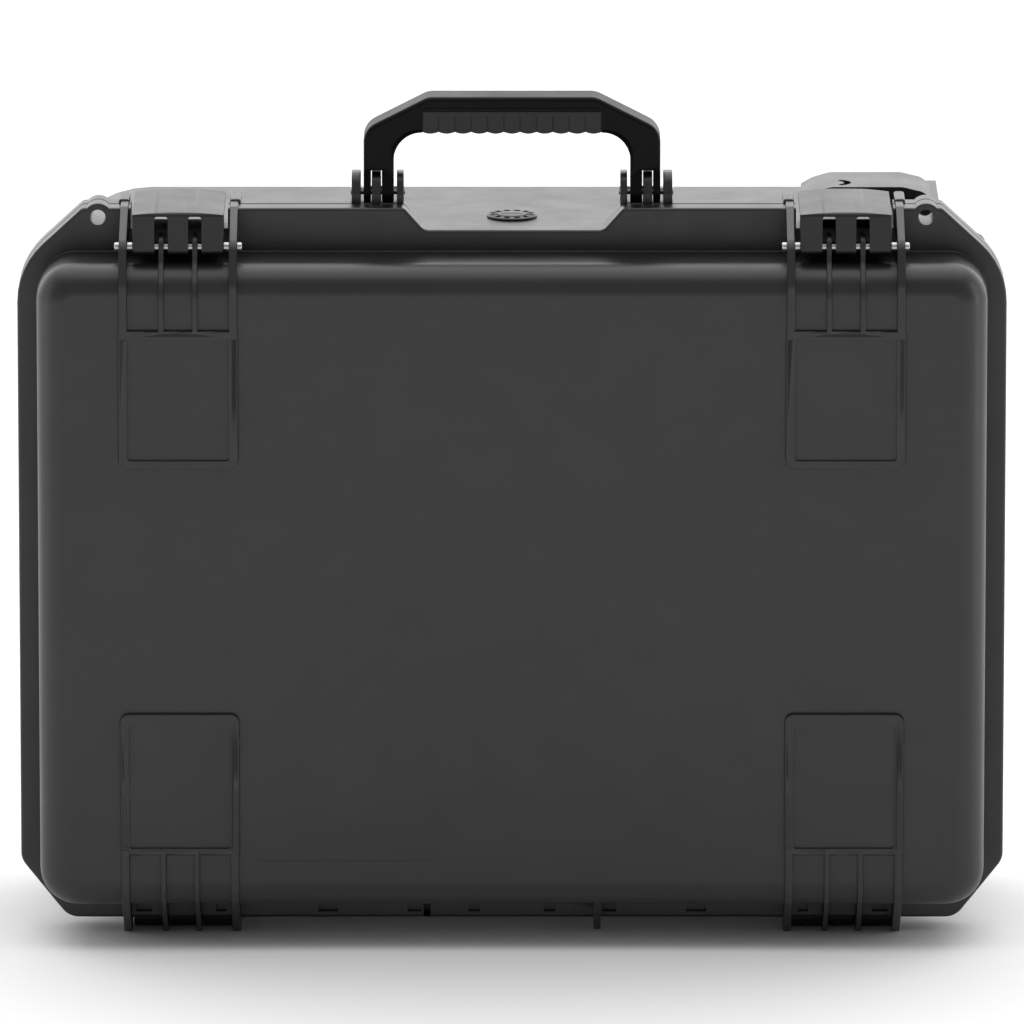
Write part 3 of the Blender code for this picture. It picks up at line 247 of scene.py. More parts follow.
def change(target, bm, operation, crossing=False):
    """Join a helper shape to a piece, or cut it away, and keep the result as its mesh."""
    tool = to_object(bm, "tool")
    modifier = target.modifiers.new("change", "BOOLEAN")
    modifier.operation = operation
    modifier.object = tool
    modifier.use_self = crossing
    bpy.context.view_layer.update()
    result = bpy.data.meshes.new_from_object(
        target.evaluated_get(bpy.context.evaluated_depsgraph_get()))
    target.modifiers.clear()
    old = target.data
    target.data = result
    bpy.data.meshes.remove(old)
    bpy.data.objects.remove(tool, do_unlink=True)


def join(target, bm, crossing=False):
    change(target, bm, "UNION", crossing)


def cut(target, bm, crossing=False):
    change(target, bm, "DIFFERENCE", crossing)


def finish_piece(made, body, look, slot, *nodes, sharp=32):
    """Give a piece its material and shading, and let it ride and stand for its CAD nodes."""
    made.data.materials.clear()
    made.data.materials.append(look)
    made.data.shade_smooth()
    made.data.set_sharp_from_angle(angle=math.radians(sharp))
    weighted = made.modifiers.new("weighted", "WEIGHTED_NORMAL")
    weighted.keep_sharp = True
    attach(made, body)
    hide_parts(*nodes)
    return made


# ---- Materials ----
class Nodes:
    """A material's node tree, with short calls to add nodes and links."""

    def __init__(self, name):
        self.material = bpy.data.materials.new(name)
        self.material.use_nodes = True
        self.tree = self.material.node_tree
        self.shader = self.tree.nodes["Principled BSDF"]

    def add(self, kind, **inputs):
        node = self.tree.nodes.new(kind)
        for key, value in inputs.items():
            node.inputs[key.replace("_", " ")].default_value = value
        return node

    def link(self, source, output, target, name):
        self.tree.links.new(source.outputs[output], target.inputs[name])

    def position(self, stretch=(1, 1, 1)):
        """Object coordinates, stretched along the axes."""
        place = self.add("ShaderNodeTexCoord")
        mapping = self.add("ShaderNodeMapping")
        mapping.inputs["Scale"].default_value = stretch
        self.link(place, "Object", mapping, "Vector")
        return mapping

    def noise(self, place, scale, detail=3.0, roughness=0.5):
        texture = self.add("ShaderNodeTexNoise", Scale=scale, Detail=detail, Roughness=roughness)
        self.link(place, "Vector", texture, "Vector")
        return texture

    def remap(self, source, output, low, high, to_low, to_high):
        """Turn a value's range into another one, held at its ends."""
        remapped = self.add("ShaderNodeMapRange")
        for key, value in (("From Min", low), ("From Max", high), ("To Min", to_low),
                           ("To Max", to_high)):
            remapped.inputs[key].default_value = value
        self.link(source, output, remapped, "Value")
        return remapped

    def blend_colour(self, factor, output, first, second):
        """Mix two colours, each a tuple or another node's result, by a factor."""
        mix = self.tree.nodes.new("ShaderNodeMix")
        mix.data_type = "RGBA"
        self.tree.links.new(factor.outputs[output], mix.inputs[0])
        for index, colour in ((6, first), (7, second)):
            if isinstance(colour, tuple):
                mix.inputs[index].default_value = (*colour, 1.0)
            else:
                self.tree.links.new(colour.outputs[2], mix.inputs[index])
        return mix

    def bump(self, source, output, height, strength=1.0, below=None):
        """Raise the surface by a texture, on top of an earlier bump if one is given."""
        raised = self.add("ShaderNodeBump", Strength=strength, Distance=height)
        self.link(source, output, raised, "Height")
        if below:
            self.link(below, "Normal", raised, "Normal")
        return raised


def edge_mask(nodes, radius):
    """1 along convex and concave edges within a radius, and 0 on flat faces."""
    bevel = nodes.add("ShaderNodeBevel", Radius=radius)
    bevel.samples = 4
    geometry = nodes.add("ShaderNodeNewGeometry")
    dot = nodes.tree.nodes.new("ShaderNodeVectorMath")
    dot.operation = "DOT_PRODUCT"
    nodes.tree.links.new(bevel.outputs["Normal"], dot.inputs[0])
    nodes.tree.links.new(geometry.outputs["Normal"], dot.inputs[1])
    return nodes.remap(dot, "Value", 0.98, 0.80, 0.0, 1.0)


def moulded_plastic(name, colour, rubbed_and_highlit_colour, roughness, grain=0.0007, height=0.00004, rubbed_and_highlit_share=0.35,
                    specular=0.5):
    """Injection-moulded plastic: fine spark texture, faint flow marks, and edges lightened in
    patches, partly as rubbed wear and partly as a painted edge highlight.
    """
    nodes = Nodes(name)
    place = nodes.position()
    flow = nodes.noise(nodes.position((1.0, 1.0, 2.4)), 7.0, 4.0, 0.55)
    tone = nodes.remap(flow, "Fac", 0.35, 0.65, 0.0, 1.0)
    lighter = tuple(channel * 1.22 for channel in colour)
    base = nodes.blend_colour(tone, "Result", colour, lighter)
    # Edges, convex and concave, lightened toward a paler colour in noisy patches: partly rubbed
    # wear, partly a painted edge highlight.
    rub_and_highlight_noise = nodes.noise(place, 260.0, 5.0, 0.7)
    rub_and_highlight_patches = nodes.remap(rub_and_highlight_noise, "Fac", 0.42, 0.62, 0.0, rubbed_and_highlit_share)
    edges = edge_mask(nodes, 0.0011)
    rubbed_and_highlit_edges = nodes.tree.nodes.new("ShaderNodeMath")
    rubbed_and_highlit_edges.operation = "MULTIPLY"
    nodes.tree.links.new(rub_and_highlight_patches.outputs["Result"], rubbed_and_highlit_edges.inputs[0])
    nodes.tree.links.new(edges.outputs["Result"], rubbed_and_highlit_edges.inputs[1])
    coloured = nodes.blend_colour(rubbed_and_highlit_edges, "Value", base, rubbed_and_highlit_colour)
    nodes.tree.links.new(coloured.outputs[2], nodes.shader.inputs["Base Color"])
    gloss_noise = nodes.noise(place, 38.0, 4.0, 0.6)
    gloss = nodes.remap(gloss_noise, "Fac", 0.3, 0.7, roughness - 0.035, roughness + 0.035)
    nodes.link(gloss, "Result", nodes.shader, "Roughness")
    spark = nodes.noise(place, 1.0 / grain, 2.0, 0.55)
    flow_bump = nodes.bump(flow, "Fac", 0.0004, 0.35)
    surface = nodes.bump(spark, "Fac", height, 0.8, below=flow_bump)
    nodes.link(surface, "Normal", nodes.shader, "Normal")
    nodes.shader.inputs["Specular IOR Level"].default_value = specular
    return nodes.material


def soft_rubber(name, colour, roughness=0.72):
    """Matt rubber with a fine stipple and a little dust in its tone."""
    nodes = Nodes(name)
    place = nodes.position()
    dust = nodes.noise(place, 55.0, 5.0, 0.65)
    amount = nodes.remap(dust, "Fac", 0.45, 0.75, 0.0, 0.5)
    dusty = tuple(channel * 2.2 + 0.004 for channel in colour)
    base = nodes.blend_colour(amount, "Result", colour, dusty)
    nodes.tree.links.new(base.outputs[2], nodes.shader.inputs["Base Color"])
    gloss = nodes.remap(dust, "Fac", 0.3, 0.7, roughness - 0.06, roughness + 0.06)
    nodes.link(gloss, "Result", nodes.shader, "Roughness")
    cells = nodes.add("ShaderNodeTexVoronoi", Scale=1300.0)
    nodes.link(place, "Vector", cells, "Vector")
    surface = nodes.bump(cells, "Distance", 0.00006, 0.7)
    nodes.link(surface, "Normal", nodes.shader, "Normal")
    nodes.shader.inputs["Sheen Weight"].default_value = 0.08
    nodes.shader.inputs["Sheen Roughness"].default_value = 0.5
    return nodes.material


def turned_metal(name, colour, roughness, stretch):
    """Bright metal with fine tool marks across its length and a varied polish."""
    nodes = Nodes(name)
    marks = nodes.noise(nodes.position(stretch), 90.0, 4.0, 0.6)
    darker = tuple(channel * 0.72 for channel in colour)
    tone = nodes.remap(marks, "Fac", 0.35, 0.65, 0.0, 1.0)
    base = nodes.blend_colour(tone, "Result", darker, colour)
    nodes.tree.links.new(base.outputs[2], nodes.shader.inputs["Base Color"])
    polish = nodes.remap(marks, "Fac", 0.3, 0.7, roughness - 0.06, roughness + 0.08)
    nodes.link(polish, "Result", nodes.shader, "Roughness")
    surface = nodes.bump(marks, "Fac", 0.00003, 0.5)
    nodes.link(surface, "Normal", nodes.shader, "Normal")
    nodes.shader.inputs["Metallic"].default_value = 1.0
    return nodes.material


# The third colour of each plastic is its lighter edge colour, partly rubbed wear and partly a
# painted edge highlight.
CASE_BLACK = moulded_plastic("case_black", (0.0085, 0.0086, 0.0090), (0.034, 0.034, 0.035), 0.36)
LATCH_BLACK = moulded_plastic("latch_black", (0.0080, 0.0080, 0.0083), (0.036, 0.036, 0.037), 0.38,
                              grain=0.0005, height=0.00002, specular=0.38)
HANDLE_BLACK = moulded_plastic("handle_black", (0.0030, 0.0030, 0.0032), (0.024, 0.024, 0.025),
                               0.40, grain=0.0005, height=0.00002, specular=0.10)
VALVE_BLACK = moulded_plastic("valve_black", (0.0060, 0.0060, 0.0063), (0.026, 0.026, 0.027), 0.40,
                              grain=0.0004, height=0.00002)
HUB_BLACK = moulded_plastic("hub_black", (0.0100, 0.0100, 0.0103), (0.036, 0.036, 0.036), 0.40)
BUTTON_GREY = moulded_plastic("button_grey", (0.0350, 0.0350, 0.0370), (0.090, 0.090, 0.090), 0.33,
                              grain=0.0004, height=0.000015)
TRAY_GREY = moulded_plastic("tray_grey", (0.050, 0.052, 0.055), (0.120, 0.120, 0.125), 0.52,
                            grain=0.0009, height=0.00006)
GRIP_RUBBER = soft_rubber("grip_rubber_black", (0.0070, 0.0070, 0.0072), 0.62)
SEAL_RUBBER = soft_rubber("seal_rubber_black", (0.0080, 0.0080, 0.0080), 0.75)
TYRE_RUBBER = soft_rubber("tyre_rubber_black", (0.0090, 0.0088, 0.0085), 0.78)
PIN_STEEL = turned_metal("pin_steel_bright", (0.62, 0.61, 0.59), 0.28, (6.0, 1.0, 1.0))
SCREW_STEEL = turned_metal("screw_steel_bright", (0.50, 0.50, 0.51), 0.32, (1.0, 5.0, 1.0))
TUBE_ALUMINIUM = turned_metal("tube_aluminium_satin", (0.52, 0.52, 0.54), 0.36, (0.15, 4.0, 4.0))


# ---- Shells ----
def flange_outline(dip_z):
    """The rim seen from the front: chamfered, rounded corners and a dip under the handle."""
    left, right, depth = FRONT_DIP
    half, low, high = HALF_WIDTH, FLANGE_LOW, FLANGE_HIGH
    top_x = half - TOP_CHAMFER[0]
    top_z = high - TOP_CHAMFER[1]
    low_x = half - BOTTOM_CHAMFER[0]
    low_z = low + BOTTOM_CHAMFER[1]
    return rounded([
        (-top_x, high, 0.004), (left, high, 0.004), (left + depth, dip_z, 0.006),
        (right - depth, dip_z, 0.006), (right, high, 0.004), (top_x, high, 0.004),
        (half, top_z, TOP_BEND), (half, low_z, 0.012), (low_x, low, 0.012), (-low_x, low, 0.012),
        (-half, low_z, 0.012), (-half, top_z, TOP_BEND),
    ])


EAR_CENTRE = (0.234, 0.4147)
EAR_RADIUS = 0.0080
EAR_HOLE = 0.0044


def add_ears(bm, low_y, high_y):
    for side in (-1, 1):
        add_cylinder(bm, (side * EAR_CENTRE[0], (low_y + high_y) / 2, EAR_CENTRE[1]), "Y",
                     EAR_RADIUS, high_y - low_y, sides=40, bevel=0.0011)


def add_ear_holes(bm):
    for side in (-1, 1):
        add_cylinder(bm, (side * EAR_CENTRE[0], SEAM_Y, EAR_CENTRE[1]), "Y", EAR_HOLE, 0.08,
                     sides=36)


def rib_spans(extra=0.0):
    """Where the four ribs of a station run along X, as offsets from its middle."""
    spans = []
    for offset, thick in (OUTER_RIB, INNER_RIB):
        for side in (-1, 1):
            spans.append((side * offset - thick / 2 - extra, side * offset + thick / 2 + extra))
    return spans


def base_knuckle_spans(extra=0.0):
    """Where the knuckles of the base run, between the ribs of the lid."""
    gap = SMALL_FIT - extra
    inner_edge = INNER_RIB[0] - INNER_RIB[1] / 2 - gap
    outer_start = INNER_RIB[0] + INNER_RIB[1] / 2 + gap
    outer_end = OUTER_RIB[0] - OUTER_RIB[1] / 2 - gap
    return [(-outer_end, -outer_start), (-inner_edge, inner_edge), (outer_start, outer_end)]


def add_hinge_bars(bm, spans, radius, bevel=0.0):
    """Round bars on the hinge axis at every station, one for each (from, to) offset."""
    for station in STATIONS.values():
        for start, end in spans:
            add_cylinder(bm, (station + (start + end) / 2, *HINGE_AXIS), "X", radius,
                         end - start, bevel=bevel)


def latch_rib(is_outer):
    """Side view of a rib above a pad: to the seam beside a latch, or to an eye in its slot."""
    pivot_y, pivot_z = LATCH_PIVOT
    if is_outer:
        return rounded([
            (LID_FACE_Y + 0.006, 0.3545, 0), (FRONT_Y, 0.3545, 0), (FRONT_Y, 0.3860, 0.012),
            (pivot_y - 0.0105, pivot_z + 0.0040, 0.012), (SEAM_Y - 0.0160, 0.4215, 0.008),
            (SEAM_Y - FIT, 0.4215, 0.001), (SEAM_Y - FIT, DOME_HIGH - 0.003, 0)])
    eye = 0.0077
    return rounded([
        (LID_FACE_Y + 0.006, 0.3575, 0), (FRONT_Y, 0.3575, 0), (FRONT_Y, 0.3830, 0.016),
        (pivot_y - eye - 0.0015, pivot_z - 0.006, 0.010), (pivot_y - eye, pivot_z + eye, eye),
        (pivot_y + eye, pivot_z + eye, eye), (pivot_y + eye + 0.002, DOME_HIGH - 0.003, 0)])


def hinge_rib(is_outer):
    """Side view of a rib that runs down the lid and under it to the hinge axis."""
    axis_y = HINGE_AXIS[0]
    return rounded([
        (LID_FACE_Y + 0.006, 0.0590, 0), (FRONT_Y, 0.0590, 0), (FRONT_Y, 0.0300, 0.012),
        (SEAM_Y - 0.0150, 0.0, 0.003), (axis_y, 0.0, 0),
        (axis_y + (0.004 if is_outer else 0.003), KNUCKLE_RADIUS, 0),
        (axis_y, 2 * KNUCKLE_RADIUS, 0), (SEAM_Y - 0.006, DOME_LOW + 0.003, 0),
    ])


PAD_SPANS = ((0.2800, 0.3592), (0.0562, 0.1384))
PAD_WINDOWS = ((0.2845, 0.3547), (0.0602, 0.1324))
PAD_RIM = 0.0050
PAD_SINK = 0.0020


def add_lid_ribs(bm):
    """Latch ribs above, hinge ribs below and the two small feet."""
    for station in STATIONS.values():
        for offset, thick in (OUTER_RIB, INNER_RIB):
            is_outer = offset == OUTER_RIB[0]
            for side in (-1, 1):
                middle = station + side * offset
                for rib in (latch_rib, hinge_rib):
                    add_outline(bm, rib(is_outer), "X", middle - thick / 2,
                                middle + thick / 2, bevel=0.0007)
    flange_front = SEAM_Y - FLANGE_THICK
    foot = rounded([
        (LID_FACE_Y + 0.010, 0.0330, 0), (LID_FACE_Y + 0.002, 0.0300, 0.005),
        (flange_front - 0.0020, 0.0015, 0.003), (flange_front + 0.002, 0.0015, 0),
        (flange_front + 0.002, 0.0200, 0),
    ])
    for side in (-1, 1):
        add_outline(bm, foot, "X", side * 0.0485 - 0.002, side * 0.0485 + 0.002, bevel=0.0006)


def add_pads(bm):
    """The four raised pads, rounder at the corners that are away from the ribs."""
    for station in STATIONS.values():
        for low, high in PAD_SPANS:
            top_is_round = high < MID_Z
            corner_top, corner_low = (0.005, 0.0015) if top_is_round else (0.0015, 0.005)
            frame_outline = rounded([
                (station - PAD_HALF, low, corner_low), (station + PAD_HALF, low, corner_low),
                (station + PAD_HALF, high, corner_top), (station - PAD_HALF, high, corner_top)])
            add_outline(bm, frame_outline, "Y", FRONT_Y + 0.00015, LID_FACE_Y + 0.001,
                        bevel=0.0010)


LATCH_ZONE = 0.0275
LABEL = (-0.148, 0.0525, -0.0436, 0.1234, 0.0003)      # x, z, x, z and depth
RIM_SLOTS = ((0.1050, 0.0114), (0.0555, 0.0080), (0.0215, 0.0065), (0.2100, 0.0090),
             (0.1660, 0.0058))


def add_rim_slots(bm, low_y, high_y):
    """The short slots along the bottom of a rim."""
    low_z, high_z = 0.0114, 0.0161
    for middle, width in RIM_SLOTS:
        for side in (-1, 1):
            add_box(bm, (side * middle - width / 2, low_y, low_z),
                    (side * middle + width / 2, high_y, high_z))


def add_lid_cuts(bm):
    """Latch notches in the rim, clearance for the base's knuckles, and the rim's slots."""
    flange_front = SEAM_Y - FLANGE_THICK
    for station in STATIONS.values():
        add_box(bm, (station - LATCH_ZONE, flange_front - 0.001, CATCH_Z),
                (station + LATCH_ZONE, SEAM_Y + 0.01, 0.44))
    add_hinge_bars(bm, base_knuckle_spans(SMALL_FIT), KNUCKLE_RADIUS + FIT)
    add_rim_slots(bm, flange_front - 0.01, flange_front + 0.004)


def add_pad_windows(bm):
    """Sunk windows inside the pads' rims, with round corners, and the label's recess."""
    for station in STATIONS.values():
        for low, high in PAD_WINDOWS:
            window = rounded_rectangle(station - PAD_HALF + PAD_RIM, low,
                                       station + PAD_HALF - PAD_RIM, high, 0.0018)
            add_outline(bm, window, "Y", FRONT_Y - 0.01, FRONT_Y + PAD_SINK)
    low_x, low_z, high_x, high_z, depth = LABEL
    add_outline(bm, rounded_rectangle(low_x, low_z, high_x, high_z, 0.004), "Y",
                LID_FACE_Y - 0.01, LID_FACE_Y + depth)


def make_lid():
    """The lid: a domed shell on a flange, with latch ribs, hinge ribs and four framed pads."""
    front = SEAM_Y - FLANGE_THICK
    bm = bmesh.new()
    add_outline(bm, flange_outline(BASE_HIGH + 0.0006), "Y", front, SEAM_Y, bevel=0.0017,
                segments=3)
    lid = to_object(bm, "lid")
    bm = bmesh.new()
    add_ears(bm, front + 0.0001, SEAM_Y - 0.0001)
    join(lid, bm)
    bm = bmesh.new()
    add_pan(bm, DOME_HALF + 0.0008, DOME_LOW - 0.0008, DOME_HIGH + 0.0008, SEAM_Y - 0.003,
            front - 0.0014, DOME_CORNER + 0.0008, 0.0006)
    join(lid, bm)
    bm = bmesh.new()
    add_pan(bm, DOME_HALF, DOME_LOW, DOME_HIGH, SEAM_Y - 0.002, LID_FACE_Y, DOME_CORNER,
            DOME_FILLET)
    join(lid, bm)
    bm = bmesh.new()
    add_pads(bm)
    add_lid_ribs(bm)
    add_hinge_bars(bm, rib_spans(), KNUCKLE_RADIUS, bevel=0.0005)
    join(lid, bm, crossing=True)
    bm = bmesh.new()
    wall = 0.0030
    add_pan(bm, DOME_HALF - 0.0095, DOME_LOW + 0.007, DOME_HIGH - 0.007, SEAM_Y + 0.01,
            LID_FACE_Y + wall, DOME_CORNER - wall, DOME_FILLET - wall)
    cut(lid, bm)
    groove = bmesh.new()
    add_pan(groove, BASE_HALF + FIT, BASE_LOW - FIT, BASE_HIGH + FIT, SEAM_Y + 0.01,
            SEAM_Y - 0.0036, BASE_CORNER + FIT, 0)
    ring = to_object(groove, "groove")
    bm = bmesh.new()
    inset = WALL + FIT
    add_pan(bm, BASE_HALF - inset, BASE_LOW + inset, BASE_HIGH - inset, SEAM_Y + 0.02,
            SEAM_Y - 0.02, BASE_CORNER - inset, 0)
    cut(ring, bm)
    cut(lid, to_bmesh(ring))
    bm = bmesh.new()
    add_lid_cuts(bm)
    cut(lid, bm, crossing=True)
    bm = bmesh.new()
    add_pad_windows(bm)
    cut(lid, bm)
    bm = bmesh.new()
    add_ear_holes(bm)
    reach = OUTER_RIB[0] + 0.01
    for station in STATIONS.values():
        add_cylinder(bm, (station, *LATCH_PIVOT), "X", LATCH_PIN + FIT, 2 * reach)
        add_cylinder(bm, (station, *HINGE_AXIS), "X", HINGE_PIN + FIT, 2 * reach)
    cut(lid, bm)
    finish_piece(lid, "lid", CASE_BLACK, "case_plastic", "lid_shell")


# ---- Base ----
HANDLE_LUGS = ((0.0613, 0.0652), (0.0743, 0.0794), (0.0857, 0.0908))
HANDLE_HALF = 0.0840
HANDLE_LEG = 0.0170
FORK_END = 0.0095
FORK_SLOT = (0.0737, 0.0800)
LATCH_REAR_Y = -0.0165
WHEEL_RADIUS = 0.0340
WHEEL_HALF = 0.0110
WELL_REACH = WHEEL_RADIUS + 0.0055
WELL_GAP = 0.0025
COVER_X = (0.1660, 0.2400)
COVER_PLUG = (0.2012, 0.0375, 0.2440, 0.0990)
COVER_Y = (0.0420, 0.0890)
COVER_RISE = 0.0070
CHANNEL = (-0.2400, 0.1720, 0.0720, 0.0820)            # x from and to, half height, front y
GRIP_WELL = (-0.2400, 0.0880, 0.0660)                  # inner x, half height, front y
TRAY_FLOOR_Y = 0.0050
OUTSIDE_X = 0.30                                       # past the side and rear of the case
OUTSIDE_Y = 0.13


def wheel_side(name):
    return 1 if name == "upper" else -1


def well_span(name, from_wheel, to_outside):
    """Z range of a box at a wheel, from a distance inside it to a distance outside it."""
    side = wheel_side(name)
    middle = WHEELS[name][2]
    return sorted((middle - side * (WHEEL_HALF + from_wheel),
                   middle + side * (WHEEL_HALF + to_outside)))


def add_base_ribs(bm):
    """Hinge knuckles and their arms, handle lugs, latch guards, feet and rear runners."""
    start_y = SEAM_Y + SMALL_FIT
    for station in STATIONS.values():
        for start, end in base_knuckle_spans():
            low, high = station + start, station + end
            add_cylinder(bm, ((low + high) / 2, *HINGE_AXIS), "X", KNUCKLE_RADIUS, high - low,
                         bevel=0.0005)
            add_outline(bm, [(HINGE_AXIS[0] + FIT, 0.0), (-0.018, 0.0), (0.0, 0.0240),
                             (start_y, 0.0240)], "X", low, high, bevel=0.0005)
        for side in (-1, 1):
            low, high = sorted((station + side * 0.0285, station + side * 0.0345))
            add_box(bm, (low, start_y, 0.4020), (high, LATCH_REAR_Y, 0.4225), bevel=0.0014,
                    segments=3)
    pivot_y, pivot_z = HANDLE_PIVOT
    lug_radius = 0.0116
    lug = rounded([
        (start_y, BASE_HIGH - 0.002, 0), (start_y, pivot_z, 0.006),
        (pivot_y - lug_radius, pivot_z + lug_radius, 0.009),
        (pivot_y + lug_radius, pivot_z + lug_radius, 0.011),
        (pivot_y + lug_radius, BASE_HIGH - 0.002, 0),
    ])
    for side in (-1, 1):
        for start, end in HANDLE_LUGS:
            low, high = mirrored(side, start, end)
            add_outline(bm, lug, "X", low, high, bevel=0.0006)
    for middle in (-0.2225, -0.1585, 0.1275, 0.1585):
        foot = rounded([(0.045, 0.0240, 0), (0.052, 0.0, 0.004), (0.086, 0.0, 0.006),
                        (0.098, 0.0400, 0.01), (0.080, 0.0400, 0)])
        add_outline(bm, foot, "X", middle - 0.003, middle + 0.003, bevel=0.0006)
    for middle in (MID_Z - 0.100, MID_Z + 0.100):
        add_box(bm, (-0.225, BASE_REAR_Y - 0.002, middle - 0.004),
                (0.185, REAR_Y, middle + 0.004), bevel=0.0016, segments=3)


def base_hollow():
    """The tub's inside as a solid, less the walls around wells, channel and grip well."""
    bm = bmesh.new()
    add_pan(bm, BASE_HALF - WALL, BASE_LOW + WALL, BASE_HIGH - WALL, SEAM_Y - 0.01,
            BASE_REAR_Y - WALL, BASE_CORNER - WALL, BASE_FILLET - WALL)
    hollow = to_object(bm, "hollow")
    skin = 0.0030
    bm = bmesh.new()
    wheel_x, wheel_y = WHEELS["upper"][:2]
    for name in WHEELS:
        low_z, high_z = well_span(name, WELL_GAP + 0.0060, 0.06)
        add_box(bm, (wheel_x - WELL_REACH - skin, wheel_y - WELL_REACH - skin, low_z),
                (OUTSIDE_X, OUTSIDE_Y, high_z))
    start_x, end_x, half, front_y = CHANNEL
    add_box(bm, (start_x - 0.004, front_y - skin, MID_Z - half - skin),
            (end_x + skin, OUTSIDE_Y, MID_Z + half + skin))
    inner_x, half, front_y = GRIP_WELL
    add_box(bm, (-OUTSIDE_X, front_y - skin, MID_Z - half - skin),
            (inner_x + skin, OUTSIDE_Y, MID_Z + half + skin))
    cut(hollow, bm, crossing=True)
    bm = bmesh.new()
    ledge_y = TRAY_FLOOR_Y + SMALL_FIT
    for x in (-0.2606, 0.2606):
        for z in (0.090, 0.338):
            add_box(bm, (x - 0.003, ledge_y, z - 0.012), (x + 0.003, ledge_y + 0.0094, z + 0.012),
                    bevel=0.0008)
    for z in (BASE_LOW + 0.0085, BASE_HIGH - 0.0110):
        for x in (-0.15, 0.15):
            add_box(bm, (x - 0.015, ledge_y, z - 0.008), (x + 0.015, ledge_y + 0.0094, z + 0.0105),
                    bevel=0.0008)
    cut(hollow, bm)
    return to_bmesh(hollow)


def add_base_cuts(bm):
    """Wheel wells, trolley channel, grip well, latch catches and handle clearance."""
    wheel_x, wheel_y = WHEELS["upper"][:2]
    for name in WHEELS:
        low_z, high_z = well_span(name, WELL_GAP, WELL_GAP)
        add_box(bm, (wheel_x - WELL_REACH, wheel_y - WELL_REACH, low_z),
                (OUTSIDE_X, OUTSIDE_Y, high_z))
        low_z, high_z = sorted((WHEELS[name][2], WHEELS[name][2] + wheel_side(name) * 0.06))
        add_box(bm, (COVER_PLUG[0] - FIT, COVER_PLUG[1] - FIT, low_z),
                (COVER_PLUG[2] + FIT, COVER_PLUG[3] + FIT, high_z))
    start_x, end_x, half, front_y = CHANNEL
    add_box(bm, (start_x - 0.005, front_y, MID_Z - half), (end_x, OUTSIDE_Y, MID_Z + half))
    inner_x, half, front_y = GRIP_WELL
    add_box(bm, (-OUTSIDE_X, front_y, MID_Z - half), (inner_x, OUTSIDE_Y, MID_Z + half))
    for station in STATIONS.values():
        add_box(bm, (station - LATCH_ZONE, SEAM_Y - 0.01, CATCH_Z),
                (station + LATCH_ZONE, SEAM_Y + FLANGE_THICK + 0.001, 0.44))
    add_hinge_bars(bm, rib_spans(SMALL_FIT), KNUCKLE_RADIUS + SMALL_FIT)
    for side in (-1, 1):
        for start, end in ((HANDLE_HALF - HANDLE_LEG - SMALL_FIT, FORK_SLOT[0] + FIT),
                           (FORK_SLOT[1] - FIT, HANDLE_HALF + SMALL_FIT)):
            add_cylinder(bm, (side * (start + end) / 2, *HANDLE_PIVOT), "X",
                         FORK_END + SMALL_FIT, end - start)
    add_rim_slots(bm, SEAM_Y + FLANGE_THICK - 0.004, SEAM_Y + FLANGE_THICK + 0.006)


def make_base():
    """The base: a deep tub on a flange, with knuckles, lugs, wheel wells and a channel."""
    front, rear = SEAM_Y + FIT, SEAM_Y + FLANGE_THICK
    bm = bmesh.new()
    add_outline(bm, flange_outline(BASE_HIGH - 0.0006), "Y", front, rear, bevel=0.0014,
                segments=3)
    base = to_object(bm, "base")
    bm = bmesh.new()
    add_pan(bm, BASE_HALF + 0.0016, BASE_LOW - 0.0014, BASE_HIGH - 0.0001, front + 0.001,
            rear + 0.0014, BASE_CORNER + 0.0016, 0.0008)
    join(base, bm)
    bm = bmesh.new()
    add_pan(bm, BASE_HALF, BASE_LOW, BASE_HIGH, front, BASE_REAR_Y, BASE_CORNER, BASE_FILLET)
    join(base, bm)
    bm = bmesh.new()
    add_ears(bm, front + 0.0001, rear - 0.0001)
    join(base, bm)
    bm = bmesh.new()
    add_base_ribs(bm)
    join(base, bm, crossing=True)
    cut(base, base_hollow())
    bm = bmesh.new()
    add_base_cuts(bm)
    cut(base, bm, crossing=True)
    bm = bmesh.new()
    add_ear_holes(bm)
    for station in STATIONS.values():
        add_cylinder(bm, (station, *HINGE_AXIS), "X", HINGE_PIN + FIT,
                     2 * (OUTER_RIB[0] + 0.006))
    for side in (-1, 1):
        add_cylinder(bm, (side * 0.0760, *HANDLE_PIVOT), "X", HANDLE_PIN + FIT, 0.040)
    add_cylinder(bm, (0, VALVE_Y, BASE_HIGH), "Z", 0.0063, 0.02)
    for name in WHEELS:
        low_z, high_z = well_span(name, WELL_GAP + 0.0035, 0)
        add_cylinder(bm, (*WHEELS[name][:2], (low_z + high_z) / 2), "Z", AXLE_RADIUS + FIT,
                     high_z - low_z)
    cut(base, bm)
    finish_piece(base, "case", CASE_BLACK, "case_plastic", "base_shell")


# ---- Latches ----
LATCH_HALF = 0.02575
LATCH_TOP = 0.4240
LATCH_PLATE = 0.0037
LATCH_FRONT_Y = SEAM_Y - 0.049
HOOK_PIN = 0.0012
HOOK_REACH = 0.0078
LATCH_CROWN = 0.0014
LATCH_BOW = 0.0035


def arch(middle, edge, rise, steps=24):
    """What lies beyond an edge that bows out by a rise between a latch's two sides."""
    half = LATCH_HALF + 0.001
    points = [(middle - half, edge + 0.002)]
    for step in range(steps + 1):
        share = 2 * step / steps - 1
        points.append((middle + half * share, edge - rise * share ** 2))
    points.append((middle + half, edge + 0.002))
    return points


